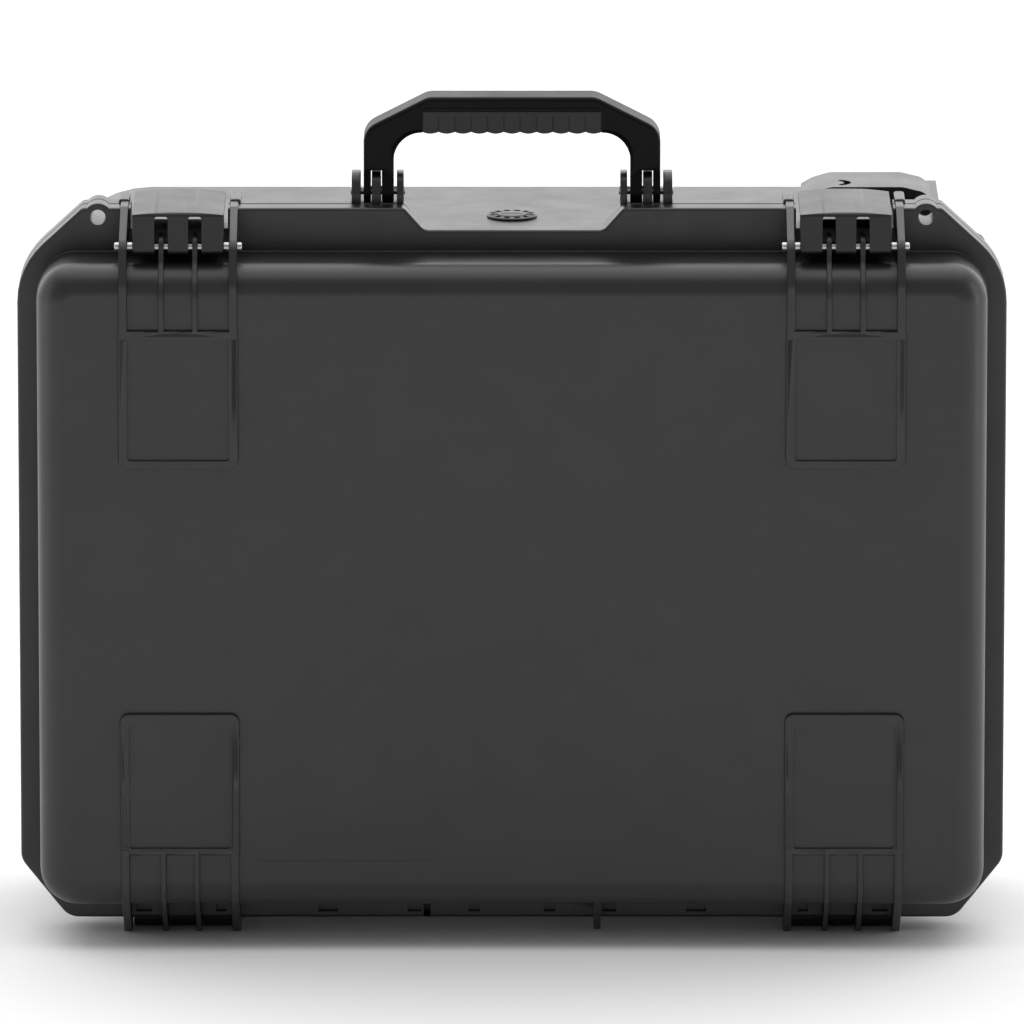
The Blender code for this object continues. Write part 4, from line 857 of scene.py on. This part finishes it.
def make_latch(side):
    """A draw latch: a crowned lever with cheeks and two slots for the lid's ribs, and its hook."""
    middle = STATIONS[side]
    pivot_y, pivot_z = LATCH_PIVOT
    plate_low = LATCH_TOP - LATCH_PLATE
    profile = rounded([
        (LATCH_FRONT_Y, pivot_z - 0.0038, 0.0034), (LATCH_FRONT_Y, LATCH_TOP, 0.0025),
        (LATCH_REAR_Y, LATCH_TOP, 0.0015), (LATCH_REAR_Y, plate_low, 0.0005),
        (pivot_y + 0.008, plate_low, 0.003), (pivot_y + 0.006, pivot_z - 0.0038, 0.003),
    ])
    bm = bmesh.new()
    add_outline(bm, profile, "X", middle - LATCH_HALF, middle + LATCH_HALF, bevel=0.0009,
                segments=3)
    lever = to_object(bm, f"{side}_lever")
    bm = bmesh.new()
    add_outline(bm, arch(middle, LATCH_TOP, LATCH_CROWN), "Y", LATCH_FRONT_Y - 0.001,
                LATCH_REAR_Y + 0.001)
    cut(lever, bm)
    bm = bmesh.new()
    add_outline(bm, arch(middle, LATCH_REAR_Y, LATCH_BOW), "Z", plate_low - 0.02,
                LATCH_TOP + 0.001)
    cut(lever, bm)
    bm = bmesh.new()
    cheek = 0.0022
    cheek_outline = rounded([
        (pivot_y + 0.004, 0.4130, 0), (pivot_y + 0.004, plate_low + 0.001, 0),
        (LATCH_REAR_Y - 0.001, plate_low + 0.001, 0), (LATCH_REAR_Y - 0.001, 0.4130, 0.0015)])
    for way in (-1, 1):
        low, high = sorted((middle + way * (LATCH_HALF - 0.0008),
                            middle + way * (LATCH_HALF - 0.0008 - cheek)))
        add_outline(bm, cheek_outline, "X", low, high, bevel=0.0005)
    join(lever, bm)
    bm = bmesh.new()
    for way in (-1, 1):
        offset = way * INNER_RIB[0]
        slot = rounded([
            (middle + offset - 0.0038, pivot_z - 0.02, 0),
            (middle + offset + 0.0038, pivot_z - 0.02, 0),
            (middle + offset + 0.0038, LATCH_TOP - 0.0020, 0.0022),
            (middle + offset - 0.0038, LATCH_TOP - 0.0020, 0.0022)])
        add_outline(bm, slot, "Y", LATCH_FRONT_Y - 0.01, pivot_y + 0.0085)
    cut(lever, bm)
    bm = bmesh.new()
    add_cylinder(bm, (middle, *LATCH_PIVOT), "X", LATCH_PIN + FIT, 0.06)
    add_cylinder(bm, (middle, *HOOK_PIVOT), "X", HOOK_PIN + FIT, 0.06)
    cut(lever, bm)
    finish_piece(lever, f"{side}_latch", LATCH_BLACK, "latch_plastic", f"{side}_latch_lever")
    make_hook(side, middle)


def make_hook(side, middle):
    """The hook under a lever, with a toe that is round about the hook's own pin."""
    hook_y, hook_z = HOOK_PIVOT
    arm, neck, toe = 0.0030, 0.0036, 0.0060
    corners = [(hook_y + arm, hook_z + arm, 0.0029), (hook_y - arm, hook_z + arm, 0.0029),
               (hook_y - arm, hook_z - neck, 0), (hook_y - toe, hook_z - neck, 0)]
    toe_angle = -math.acos(-toe / HOOK_REACH)
    heel_angle = -math.acos(arm / HOOK_REACH)
    for step in range(13):
        angle = toe_angle + (heel_angle - toe_angle) * step / 12
        corners.append((hook_y + HOOK_REACH * math.cos(angle),
                        hook_z + HOOK_REACH * math.sin(angle), 0))
    bm = bmesh.new()
    add_outline(bm, rounded(corners), "X", middle - 0.0215, middle + 0.0215, bevel=0.0003)
    hook = to_object(bm, f"{side}_hook")
    bm = bmesh.new()
    add_cylinder(bm, (middle, *HOOK_PIVOT), "X", HOOK_PIN + FIT, 0.06)
    cut(hook, bm)
    finish_piece(hook, f"{side}_hook", LATCH_BLACK, "latch_plastic", f"{side}_latch_hook")


# ---- Pins, axles, rods and screws ----
def make_bar(node, body, axis, radius, look, slot, bevel=0.0004, sides=32):
    """A round bar the length of its CAD node, with broken edges."""
    low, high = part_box(node)
    size = high - low
    length = size["XYZ".index(axis)]
    bm = bmesh.new()
    add_cylinder(bm, (low + high) / 2, axis, radius, length, sides=sides, bevel=bevel)
    finish_piece(to_object(bm, f"{node}_bar"), body, look, slot, node)


def make_screw(node):
    """A pan-head screw with a crossed recess, seen from the back of the case."""
    low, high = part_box(node)
    centre = (low + high) / 2
    radius = (high.x - low.x) / 2
    bm = bmesh.new()
    add_cylinder(bm, centre, "Y", radius, high.y - low.y, bevel=0.0005)
    screw = to_object(bm, f"{node}_head")
    bm = bmesh.new()
    arm, half = 0.0019, 0.0004
    add_box(bm, (centre.x - arm, high.y - 0.0009, centre.z - half),
            (centre.x + arm, high.y + 0.001, centre.z + half))
    add_box(bm, (centre.x - half, high.y - 0.0009, centre.z - arm),
            (centre.x + half, high.y + 0.001, centre.z + arm))
    cut(screw, bm, crossing=True)
    finish_piece(screw, "case", SCREW_STEEL, "pin_steel", node)


# ---- Carry handle ----
HANDLE_THICK = 0.0250
GRIP_LOW = grip_low.z
GRIP_HIGH = grip_high.z
GRIP_HALF = grip_high.x
INNER_Z = 0.4600
INNER_BEND = 0.0160
HANDLE_PIN = 0.0025
SCALLOPS = 11
SCALLOP_DEPTH = 0.0010


def bow_opening(grow):
    """The opening under the handle's bar, seen from the front, made larger by an amount."""
    inner = HANDLE_HALF - HANDLE_LEG + grow
    return rounded([(-inner, 0.40, 0), (inner, 0.40, 0), (inner, INNER_Z + grow, INNER_BEND),
                    (-inner, INNER_Z + grow, INNER_BEND)], steps=12)


def add_taper(bm, first, second, first_y, second_y):
    """Add a solid that runs along Y from one outline to another with as many points."""
    solid = bmesh.new()
    rings = [[solid.verts.new((x, y, z)) for x, z in outline]
             for outline, y in ((first, first_y), (second, second_y))]
    for index in range(len(first)):
        after = (index + 1) % len(first)
        solid.faces.new((rings[0][index], rings[0][after], rings[1][after], rings[1][index]))
    for ring in rings:
        solid.faces.new(ring)
    bmesh.ops.recalc_face_normals(solid, faces=solid.faces)
    add_bmesh(bm, solid)


def make_handle():
    """The carry handle: a bow on forked legs, with a seat for the grip and a groove above it."""
    pivot_y, pivot_z = HANDLE_PIVOT
    half_thick = HANDLE_THICK / 2
    inner = HANDLE_HALF - HANDLE_LEG
    foot = pivot_z - FORK_END - 0.001
    seat = GRIP_HALF + 0.00002
    outer = rounded([
        (-HANDLE_HALF, foot, 0), (HANDLE_HALF, foot, 0), (HANDLE_HALF, 0.4620, 0.012),
        (0.0475, HANDLE_TOP, 0.012), (-0.0475, HANDLE_TOP, 0.012),
        (-HANDLE_HALF, 0.4620, 0.012)])
    bm = bmesh.new()
    add_outline(bm, outer, "Y", pivot_y - half_thick, pivot_y + half_thick, bevel=0.0026,
                segments=4)
    handle = to_object(bm, "handle")
    bm = bmesh.new()
    add_outline(bm, bow_opening(0), "Y", pivot_y - half_thick - 0.001, pivot_y + half_thick + 0.001)
    cut(handle, bm)
    for side in (-1, 1):
        bm = bmesh.new()
        add_taper(bm, bow_opening(0), bow_opening(0.0022), pivot_y + side * (half_thick - 0.0020),
                  pivot_y + side * (half_thick + 0.0002))
        cut(handle, bm)
    bm = bmesh.new()
    add_box(bm, (-seat, pivot_y - 0.02, INNER_Z - 0.01), (seat, pivot_y + 0.02, GRIP_HIGH + FIT))
    cut(handle, bm)
    bm = bmesh.new()
    trim = [(pivot_y - 0.018, foot - 0.001), (pivot_y + 0.018, foot - 0.001),
            (pivot_y + 0.018, 0.4420), (pivot_y + 0.0130, 0.4420), (pivot_y + FORK_END, 0.4330)]
    for step in range(17):
        angle = -math.pi * step / 16
        trim.append((pivot_y + FORK_END * math.cos(angle), pivot_z + FORK_END * math.sin(angle)))
    trim += [(pivot_y - FORK_END, 0.4330), (pivot_y - 0.0130, 0.4420), (pivot_y - 0.018, 0.4420)]
    for side in (-1, 1):
        low, high = mirrored(side, inner - 0.001, HANDLE_HALF + 0.001)
        add_outline(bm, trim, "X", low, high)
    cut(handle, bm)
    bm = bmesh.new()
    for side in (-1, 1):
        low, high = mirrored(side, *FORK_SLOT)
        add_box(bm, (low, pivot_y - 0.02, foot - 0.001), (high, pivot_y + 0.02, 0.4385))
    cut(handle, bm)
    bm = bmesh.new()
    groove_z = GRIP_HIGH + 0.0022
    for side in (-1, 1):
        y = pivot_y + side * half_thick
        add_box(bm, (-0.0500, y - 0.0006, groove_z - 0.0004),
                (0.0500, y + 0.0006, groove_z + 0.0004))
        add_cylinder(bm, (side * 0.0760, *HANDLE_PIVOT), "X", HANDLE_PIN + FIT, 0.04)
    cut(handle, bm)
    finish_piece(handle, "handle", HANDLE_BLACK, "handle_plastic", "carry_handle")


def make_grip():
    """The soft grip under the bar, scalloped along its lower edge."""
    pivot_y = HANDLE_PIVOT[0]
    half_thick = HANDLE_THICK / 2 - 0.0008
    pitch = 2 * GRIP_HALF / SCALLOPS
    edge = [(-GRIP_HALF, GRIP_HIGH), (-GRIP_HALF, GRIP_LOW + SCALLOP_DEPTH)]
    steps = 10
    for index in range(SCALLOPS):
        start = -GRIP_HALF + index * pitch
        for step in range(1, steps + 1):
            share = step / steps
            edge.append((start + pitch * share,
                         GRIP_LOW + SCALLOP_DEPTH * (1 - math.sin(math.pi * share))))
    edge.append((GRIP_HALF, GRIP_HIGH))
    bm = bmesh.new()
    add_outline(bm, edge, "Y", pivot_y - half_thick, pivot_y + half_thick, bevel=0.0004)
    grip = to_object(bm, "grip")
    bm = bmesh.new()
    for index in range(1, SCALLOPS):
        x = -GRIP_HALF + index * pitch
        for side in (-1, 1):
            y = pivot_y + side * half_thick
            add_box(bm, (x - 0.0004, y - 0.0005, GRIP_LOW - 0.001),
                    (x + 0.0004, y + 0.0005, GRIP_HIGH - 0.0030))
    cut(grip, bm)
    finish_piece(grip, "handle", GRIP_RUBBER, "grip_rubber", "handle_grip")


# ---- Turned pieces ----
def turned(name, profile, centre, steps=96):
    """Turn a closed profile of (radius, height) points about the Z axis at a place."""
    bm = bmesh.new()
    rings = []
    for radius, height in profile:
        if radius == 0:
            rings.append([bm.verts.new((0, 0, height))])
            continue
        rings.append([bm.verts.new((radius * math.cos(2 * math.pi * step / steps),
                                    radius * math.sin(2 * math.pi * step / steps), height))
                      for step in range(steps)])
    for index, ring in enumerate(rings):
        following = rings[(index + 1) % len(rings)]
        if len(ring) == 1 and len(following) == 1:
            continue
        for step in range(steps):
            after = (step + 1) % steps
            if len(ring) == 1:
                bm.faces.new((ring[0], following[step], following[after]))
            elif len(following) == 1:
                bm.faces.new((ring[step], ring[after], following[0]))
            else:
                bm.faces.new((ring[step], ring[after], following[after], following[step]))
    bmesh.ops.recalc_face_normals(bm, faces=bm.faces)
    bmesh.ops.translate(bm, vec=centre, verts=bm.verts)
    return to_object(bm, name)


# ---- Valve ----
VALVE_Y = (valve_low.y + valve_high.y) / 2
VALVE_RADIUS = valve_high.x
VENTS = 12


def make_valve():
    """The pressure valve: a ringed body, a ring of vents and a slotted cap."""
    top = BASE_HIGH
    centre = (0, VALVE_Y, 0)
    body = turned("valve_ring", [
        (0, top + 0.0008), (0.0088, top + 0.0008), (0.0090, top + 0.0014), (0.0094, top + 0.0016),
        (0.0130, top + 0.0016), (0.0137, top + 0.0014), (VALVE_RADIUS, top + 0.0009),
        (VALVE_RADIUS, top + FIT), (0.0060, top + FIT), (0.0060, top - 0.0150),
        (0, top - 0.0150)], centre)
    bm = bmesh.new()
    for index in range(VENTS):
        angle = 2 * math.pi * (index + 0.5) / VENTS
        vent = bmesh.new()
        add_box(vent, (0.0096, -0.0017, 0.0006), (0.0127, 0.0017, 0.0040))
        bmesh.ops.rotate(vent, cent=(0, 0, 0), matrix=Matrix.Rotation(angle, 3, "Z"),
                         verts=vent.verts)
        bmesh.ops.translate(vent, vec=(0, VALVE_Y, top), verts=vent.verts)
        add_bmesh(bm, vent)
    cut(body, bm)
    finish_piece(body, "case", VALVE_BLACK, "valve_plastic", "valve_body")
    cap = turned("valve_button", [
        (0, top + 0.0020), (0.0070, top + 0.0020), (0.0078, top + 0.0019),
        (0.0084, top + 0.0017), (0.0084, top + 0.0011), (0, top + 0.0011)], centre)
    bm = bmesh.new()
    add_box(bm, (-0.0056, VALVE_Y - 0.0006, top + 0.0016), (0.0056, VALVE_Y + 0.0006, top + 0.0050))
    cut(cap, bm)
    finish_piece(cap, "case", VALVE_BLACK, "valve_plastic", "valve_cap")


# ---- Wheels and their covers ----
AXLE_RADIUS = 0.0030
HUB_RADIUS = 0.0245
SPOKES = 5
TREADS = 36


def make_wheel(name):
    """A wheel: a hub with pockets between its spokes, and a tyre with a fine tread."""
    centre = Vector(WHEELS[name])
    bore = AXLE_RADIUS + FIT
    half = WHEEL_HALF
    rim = HUB_RADIUS - 0.003
    hub = turned(f"{name}_hub", [
        (bore, half - 0.0003), (bore + 0.0003, half), (0.0062, half), (0.0067, half - 0.0004),
        (0.0075, half - 0.0020), (rim, half - 0.0020), (rim + 0.0004, half - 0.0012),
        (HUB_RADIUS, half - 0.001), (HUB_RADIUS, 0.001 - half), (rim + 0.0004, 0.0012 - half),
        (rim, 0.0020 - half), (0.0075, 0.0020 - half), (0.0067, 0.0004 - half),
        (0.0062, -half), (bore + 0.0003, -half), (bore, 0.0003 - half)], centre)
    bm = bmesh.new()
    gap = 0.34
    for side in (-1, 1):
        face = side * (half - 0.0020)
        for index in range(SPOKES):
            start = 2 * math.pi * index / SPOKES + gap / 2
            end = 2 * math.pi * (index + 1) / SPOKES - gap / 2
            outline = [(0.0200 * math.cos(start + (end - start) * step / 10),
                        0.0200 * math.sin(start + (end - start) * step / 10))
                       for step in range(11)]
            outline += [(0.0100 * math.cos(end - (end - start) * step / 8),
                         0.0100 * math.sin(end - (end - start) * step / 8))
                        for step in range(9)]
            outline = [(centre.x + x, centre.y + y) for x, y in outline]
            low, high = sorted((centre.z + face - side * 0.0040, centre.z + face + side * 0.002))
            add_outline(bm, outline, "Z", low, high)
    cut(hub, bm)
    finish_piece(hub, f"{name}_wheel", HUB_BLACK, "hub_plastic", f"{name}_wheel_hub")
    inner = HUB_RADIUS + FIT
    shoulder = WHEEL_RADIUS - 0.003
    tyre = turned(f"{name}_tyre", [
        (inner, half - 0.001), (shoulder - 0.001, half), (shoulder, half),
        (WHEEL_RADIUS - 0.0015, half - 0.0006), (WHEEL_RADIUS - 0.0005, half - 0.002),
        (WHEEL_RADIUS, half - 0.004), (WHEEL_RADIUS, 0.004 - half),
        (WHEEL_RADIUS - 0.0005, 0.002 - half), (WHEEL_RADIUS - 0.0015, 0.0006 - half),
        (shoulder, -half), (shoulder - 0.001, -half), (inner, 0.001 - half)], centre, steps=144)
    bm = bmesh.new()
    for index in range(TREADS):
        angle = 2 * math.pi * (index + 0.5) / TREADS
        tread = bmesh.new()
        add_box(tread, (WHEEL_RADIUS - 0.0009, -0.0005, -0.0088),
                (WHEEL_RADIUS + 0.001, 0.0005, 0.0088))
        bmesh.ops.rotate(tread, cent=(0, 0, 0), matrix=Matrix.Rotation(angle, 3, "Z"),
                         verts=tread.verts)
        bmesh.ops.translate(tread, vec=centre, verts=tread.verts)
        add_bmesh(bm, tread)
    cut(tyre, bm)
    finish_piece(tyre, f"{name}_wheel", TYRE_RUBBER, "tyre_rubber", f"{name}_wheel_tyre")


def make_wheel_cover(name):
    """The bulging cover over a wheel, with a curved finger slot and a hole for the axle."""
    side = wheel_side(name)
    wall_z = BASE_HIGH if side > 0 else BASE_LOW

    def z_range(first, second):
        return sorted((wall_z + side * first, wall_z + side * second))

    wheel_x, wheel_y = WHEELS[name][:2]
    low_x, high_x = COVER_X
    mound = rounded([
        (low_x, wall_z + side * FIT, 0), (low_x + 0.0070, wall_z + side * 0.0042, 0.008),
        (low_x + 0.0165, wall_z + side * COVER_RISE, 0.014),
        (high_x - 0.0165, wall_z + side * COVER_RISE, 0.014),
        (high_x - 0.0050, wall_z + side * 0.0042, 0.008), (high_x, wall_z + side * FIT, 0),
    ])
    bm = bmesh.new()
    add_outline(bm, mound, "Y", *COVER_Y)
    cover = to_object(bm, f"{name}_cover")
    well_top = abs(WHEELS[name][2] + side * (WHEEL_HALF + WELL_GAP) - wall_z)
    bm = bmesh.new()
    plug_low, plug_high = z_range(-well_top + 0.0004, 0.0002)
    add_box(bm, (COVER_PLUG[0], COVER_PLUG[1], plug_low), (COVER_PLUG[2], COVER_PLUG[3], plug_high))
    join(cover, bm)
    bm = bmesh.new()
    hollow_low, hollow_high = z_range(-well_top - 0.002, -0.0025)
    wall = 0.0030
    add_box(bm, (COVER_PLUG[0] + wall, COVER_PLUG[1] + wall, hollow_low),
            (COVER_PLUG[2] - wall - 0.0150, COVER_PLUG[3] - wall, hollow_high))
    cut(cover, bm)
    bm = bmesh.new()
    hole_low, hole_high = z_range(-well_top - 0.002, -well_top + 0.0070)
    add_cylinder(bm, (wheel_x, wheel_y, (hole_low + hole_high) / 2), "Z", AXLE_RADIUS + FIT,
                 hole_high - hole_low)
    slot_low, slot_high = z_range(COVER_RISE - 0.0020, COVER_RISE + 0.01)
    crescent = []
    for reach, order in ((0.0092, range(13)), (0.0052, range(12, -1, -1))):
        for step in order:
            angle = math.radians(-70 + 140 * step / 12)
            crescent.append((0.1850 + reach * math.cos(angle), 0.0560 + reach * math.sin(angle)))
    add_outline(bm, crescent, "Z", slot_low, slot_high)
    cut(cover, bm)
    finish_piece(cover, "case", CASE_BLACK, "case_plastic", f"{name}_wheel_cover")


# ---- Trolley handle ----
TUBE_OFFSET = 0.055
TUBE_OUTER = 0.0085
TUBE_INNER = 0.0068
ROD_RADIUS = 0.0060


def make_trolley():
    """The pull-out handle: grip, button, rods in guide tubes, and the ribbed back cover."""
    for name, way in (("upper", 1), ("lower", -1)):
        z = MID_Z + way * TUBE_OFFSET
        low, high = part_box(f"{name}_guide_tube")
        bm = bmesh.new()
        add_cylinder(bm, ((low.x + high.x) / 2, TUBE_Y, z), "X", TUBE_OUTER, high.x - low.x,
                     sides=48, bevel=0.0004)
        tube = to_object(bm, f"{name}_tube")
        bm = bmesh.new()
        add_cylinder(bm, (low.x, TUBE_Y, z), "X", TUBE_INNER, 2 * (high.x - low.x) - 0.004,
                     sides=48)
        cut(tube, bm)
        finish_piece(tube, "case", TUBE_ALUMINIUM, "tube_aluminium", f"{name}_guide_tube")
        make_bar(f"{name}_trolley_rod", "trolley", "X", ROD_RADIUS, TUBE_ALUMINIUM,
                 "tube_aluminium", sides=48)
    half = GRIP_WELL[1] - 0.0080
    bm = bmesh.new()
    add_outline(bm, rounded([
        (-0.2790, MID_Z - half, 0.010), (-0.2500, MID_Z - half, 0.004),
        (-0.2500, MID_Z - half + 0.0220, 0.004), (-0.2600, MID_Z - half + 0.0300, 0.010),
        (-0.2600, MID_Z + half - 0.0300, 0.010), (-0.2500, MID_Z + half - 0.0220, 0.004),
        (-0.2500, MID_Z + half, 0.004), (-0.2790, MID_Z + half, 0.010),
    ]), "Y", TUBE_Y - 0.0110, TUBE_Y + 0.0110, bevel=0.0024, segments=4)
    grip = to_object(bm, "pull_grip")
    bm = bmesh.new()
    for way in (-1, 1):
        z = MID_Z + way * TUBE_OFFSET
        add_cylinder(bm, (-0.2500, TUBE_Y, z), "X", ROD_RADIUS + FIT, 0.0175, sides=48)
        for index in range(5):
            middle = MID_Z + way * (0.0290 + index * 0.0085)
            for edge_y in (TUBE_Y - 0.0110, TUBE_Y + 0.0110):
                add_box(bm, (-0.2745, edge_y - 0.0006, middle - 0.0013),
                        (-0.2655, edge_y + 0.0006, middle + 0.0013))
    add_box(bm, (-OUTSIDE_X, TUBE_Y - 0.0063, MID_Z - 0.0153),
            (-0.2700, TUBE_Y + 0.0063, MID_Z + 0.0153))
    cut(grip, bm)
    finish_piece(grip, "trolley", HANDLE_BLACK, "handle_plastic", "trolley_grip")
    low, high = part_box("trolley_button")
    bm = bmesh.new()
    add_box(bm, low, high, bevel=0.0012, segments=4)
    button = to_object(bm, "release_button")
    bm = bmesh.new()
    for index in range(5):
        z = MID_Z + (index - 2) * 0.0040
        add_box(bm, (low.x - 0.001, TUBE_Y - 0.0040, z - 0.0007),
                (low.x + 0.0006, TUBE_Y + 0.0040, z + 0.0007))
    cut(button, bm)
    finish_piece(button, "trolley_release", BUTTON_GREY, "button_plastic", "trolley_button")
    make_back_cover()


def make_back_cover():
    """The cover over the guide tubes, with grooves along it and four screw recesses."""
    start_x, end_x, half, _ = CHANNEL
    bm = bmesh.new()
    add_box(bm, (start_x + 0.010, TUBE_Y + TUBE_OUTER + FIT, MID_Z - half + 0.0004),
            (end_x - 0.0004, REAR_Y - 0.0015, MID_Z + half - 0.0004), bevel=0.0012, segments=4)
    cover = to_object(bm, "back_cover")
    bm = bmesh.new()
    for x in (-0.20, 0.14):
        for way in (-1, 1):
            add_cylinder(bm, (x, REAR_Y, MID_Z + way * 0.025), "Y", 0.0040, 0.008)
    for index in range(5):
        middle = MID_Z + (index - 2) * 0.0090
        groove = rounded_rectangle(-0.17, middle - 0.0015, 0.11, middle + 0.0015, 0.0014)
        add_outline(bm, groove, "Y", REAR_Y - 0.0030, REAR_Y + 0.01)
    cut(cover, bm)
    finish_piece(cover, "case", CASE_BLACK, "case_plastic", "trolley_cover")


# ---- Tray ----
TRAY_HALF = 0.2545
TRAY_LOW = 0.0360
TRAY_HIGH = 0.3840
TRAY_FRONT_Y = SEAM_Y + 0.0030
TRAY_WALL = 0.0025


def make_tray():
    """The lift-out tray with a rounded floor and finger holes, and its dividers as plain panels."""
    bm = bmesh.new()
    add_pan(bm, TRAY_HALF, TRAY_LOW, TRAY_HIGH, TRAY_FRONT_Y, TRAY_FLOOR_Y, 0.030, 0.006)
    tray = to_object(bm, "lift_tray")
    bm = bmesh.new()
    add_pan(bm, TRAY_HALF - TRAY_WALL, TRAY_LOW + TRAY_WALL, TRAY_HIGH - TRAY_WALL,
            TRAY_FRONT_Y - 0.01, TRAY_FLOOR_Y - TRAY_WALL, 0.030 - TRAY_WALL, 0)
    cut(tray, bm)
    bm = bmesh.new()
    for side in (-1, 1):
        low, high = mirrored(side, 0.240, 0.270)
        add_box(bm, (low, -0.0320, MID_Z - 0.045), (high, -0.0120, MID_Z + 0.045), bevel=0.004,
                segments=5)
    cut(tray, bm)
    finish_piece(tray, "tray", TRAY_GREY, "tray_plastic", "tray")
    for node in ("tray_long_divider", "tray_left_divider", "tray_right_divider"):
        low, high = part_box(node)
        bm = bmesh.new()
        add_box(bm, low, high, bevel=0.0004, segments=3)
        finish_piece(to_object(bm, f"{node}_panel"), "tray", TRAY_GREY, "tray_plastic", node)


def dress_node(node, look):
    """Keep a CAD node as it is, under a detailed material."""
    NODES[node].data.materials.clear()
    NODES[node].data.materials.append(look)


# ---- Build every piece ----
make_lid()
dress_node("lid_seal", SEAL_RUBBER)
make_base()
for station_side in STATIONS:
    make_latch(station_side)
    make_bar(f"{station_side}_latch_pin", "lid", "X", LATCH_PIN, PIN_STEEL, "pin_steel", 0.0006)
    make_bar(f"{station_side}_hook_pin", f"{station_side}_latch", "X", HOOK_PIN, PIN_STEEL,
             "pin_steel", 0.0003)
    make_bar(f"{station_side}_hinge_pin", "case", "X", HINGE_PIN, PIN_STEEL, "pin_steel", 0.0005)
    make_bar(f"{station_side}_handle_pin", "case", "X", HANDLE_PIN, PIN_STEEL, "pin_steel", 0.0005)
make_handle()
make_grip()
make_valve()
for wheel_name in WHEELS:
    make_wheel(wheel_name)
    make_wheel_cover(wheel_name)
    make_bar(f"{wheel_name}_wheel_axle", "case", "Z", AXLE_RADIUS, PIN_STEEL, "pin_steel")
make_trolley()
for row in ("upper", "lower"):
    for end in ("left", "right"):
        make_screw(f"{row}_{end}_cover_screw")
make_tray()
dress_node("valve_nut", VALVE_BLACK)


# ---- Floor, light and camera ----
def make_floor():
    """A wide, plain, pale floor."""
    bm = bmesh.new()
    reach = 14.0
    corners = ((-reach, -reach), (reach, -reach), (reach, reach), (-reach, reach))
    bm.faces.new([bm.verts.new((x, y, -0.0003)) for x, y in corners])
    floor = to_object(bm, "floor")
    nodes = Nodes("studio_floor")
    nodes.shader.inputs["Base Color"].default_value = (0.93, 0.93, 0.93, 1.0)
    nodes.shader.inputs["Roughness"].default_value = 0.9
    nodes.shader.inputs["Specular IOR Level"].default_value = 0.0
    floor.data.materials.append(nodes.material)


def add_area(name, place, target, size_x, size_y, power):
    """A soft rectangular light facing a point."""
    light = bpy.data.lights.new(name, "AREA")
    light.shape = "RECTANGLE"
    light.size = size_x
    light.size_y = size_y
    light.energy = power
    lamp = place_object(name, light)
    lamp.location = place
    lamp.rotation_euler = (Vector(target) - Vector(place)).to_track_quat("-Z", "Y").to_euler()


def light_studio():
    """Bright surroundings behind and dim ones in front, a soft sun above, strips at the sides."""
    world = bpy.data.worlds.new("studio")
    bpy.context.scene.world = world
    world.use_nodes = True
    tree = world.node_tree
    place = tree.nodes.new("ShaderNodeTexCoord")
    split = tree.nodes.new("ShaderNodeSeparateXYZ")
    tree.links.new(place.outputs["Generated"], split.inputs[0])
    ramp = tree.nodes.new("ShaderNodeMapRange")
    for key, value in (("From Min", -0.2), ("From Max", 0.85), ("To Min", 0.43), ("To Max", 1.9)):
        ramp.inputs[key].default_value = value
    tree.links.new(split.outputs["Y"], ramp.inputs["Value"])
    background = tree.nodes["Background"]
    background.inputs["Color"].default_value = (1.0, 1.0, 1.0, 1.0)
    tree.links.new(ramp.outputs["Result"], background.inputs["Strength"])
    sun = bpy.data.lights.new("soft_sun", "SUN")
    sun.energy = 1.3
    sun.angle = math.radians(70)
    lamp = place_object("soft_sun", sun)
    lamp.rotation_euler = (math.radians(-8), 0, 0)
    add_area("left_strip", (-2.1, -0.35, 0.7), (0, -0.06, 0.25), 0.5, 1.8, 3.5)
    add_area("right_strip", (2.1, -0.35, 0.7), (0, -0.06, 0.25), 0.5, 1.8, 8)


def add_camera():
    """A long lens in front, twelve degrees above the middle of the case."""
    target = Vector((0.0, SEAM_Y, 0.2416))
    elevation = math.radians(12)
    distance = 8.0
    data = bpy.data.cameras.new("camera")
    data.sensor_width = 36.0
    data.lens = 494.7
    data.clip_end = 60.0
    camera = place_object("camera", data)
    camera.location = target + distance * Vector((0, -math.cos(elevation), math.sin(elevation)))
    camera.rotation_euler = (target - camera.location).to_track_quat("-Z", "Y").to_euler()
    bpy.context.scene.camera = camera


make_floor()
light_studio()
add_camera()
bpy.context.scene.view_settings.view_transform = "Standard"
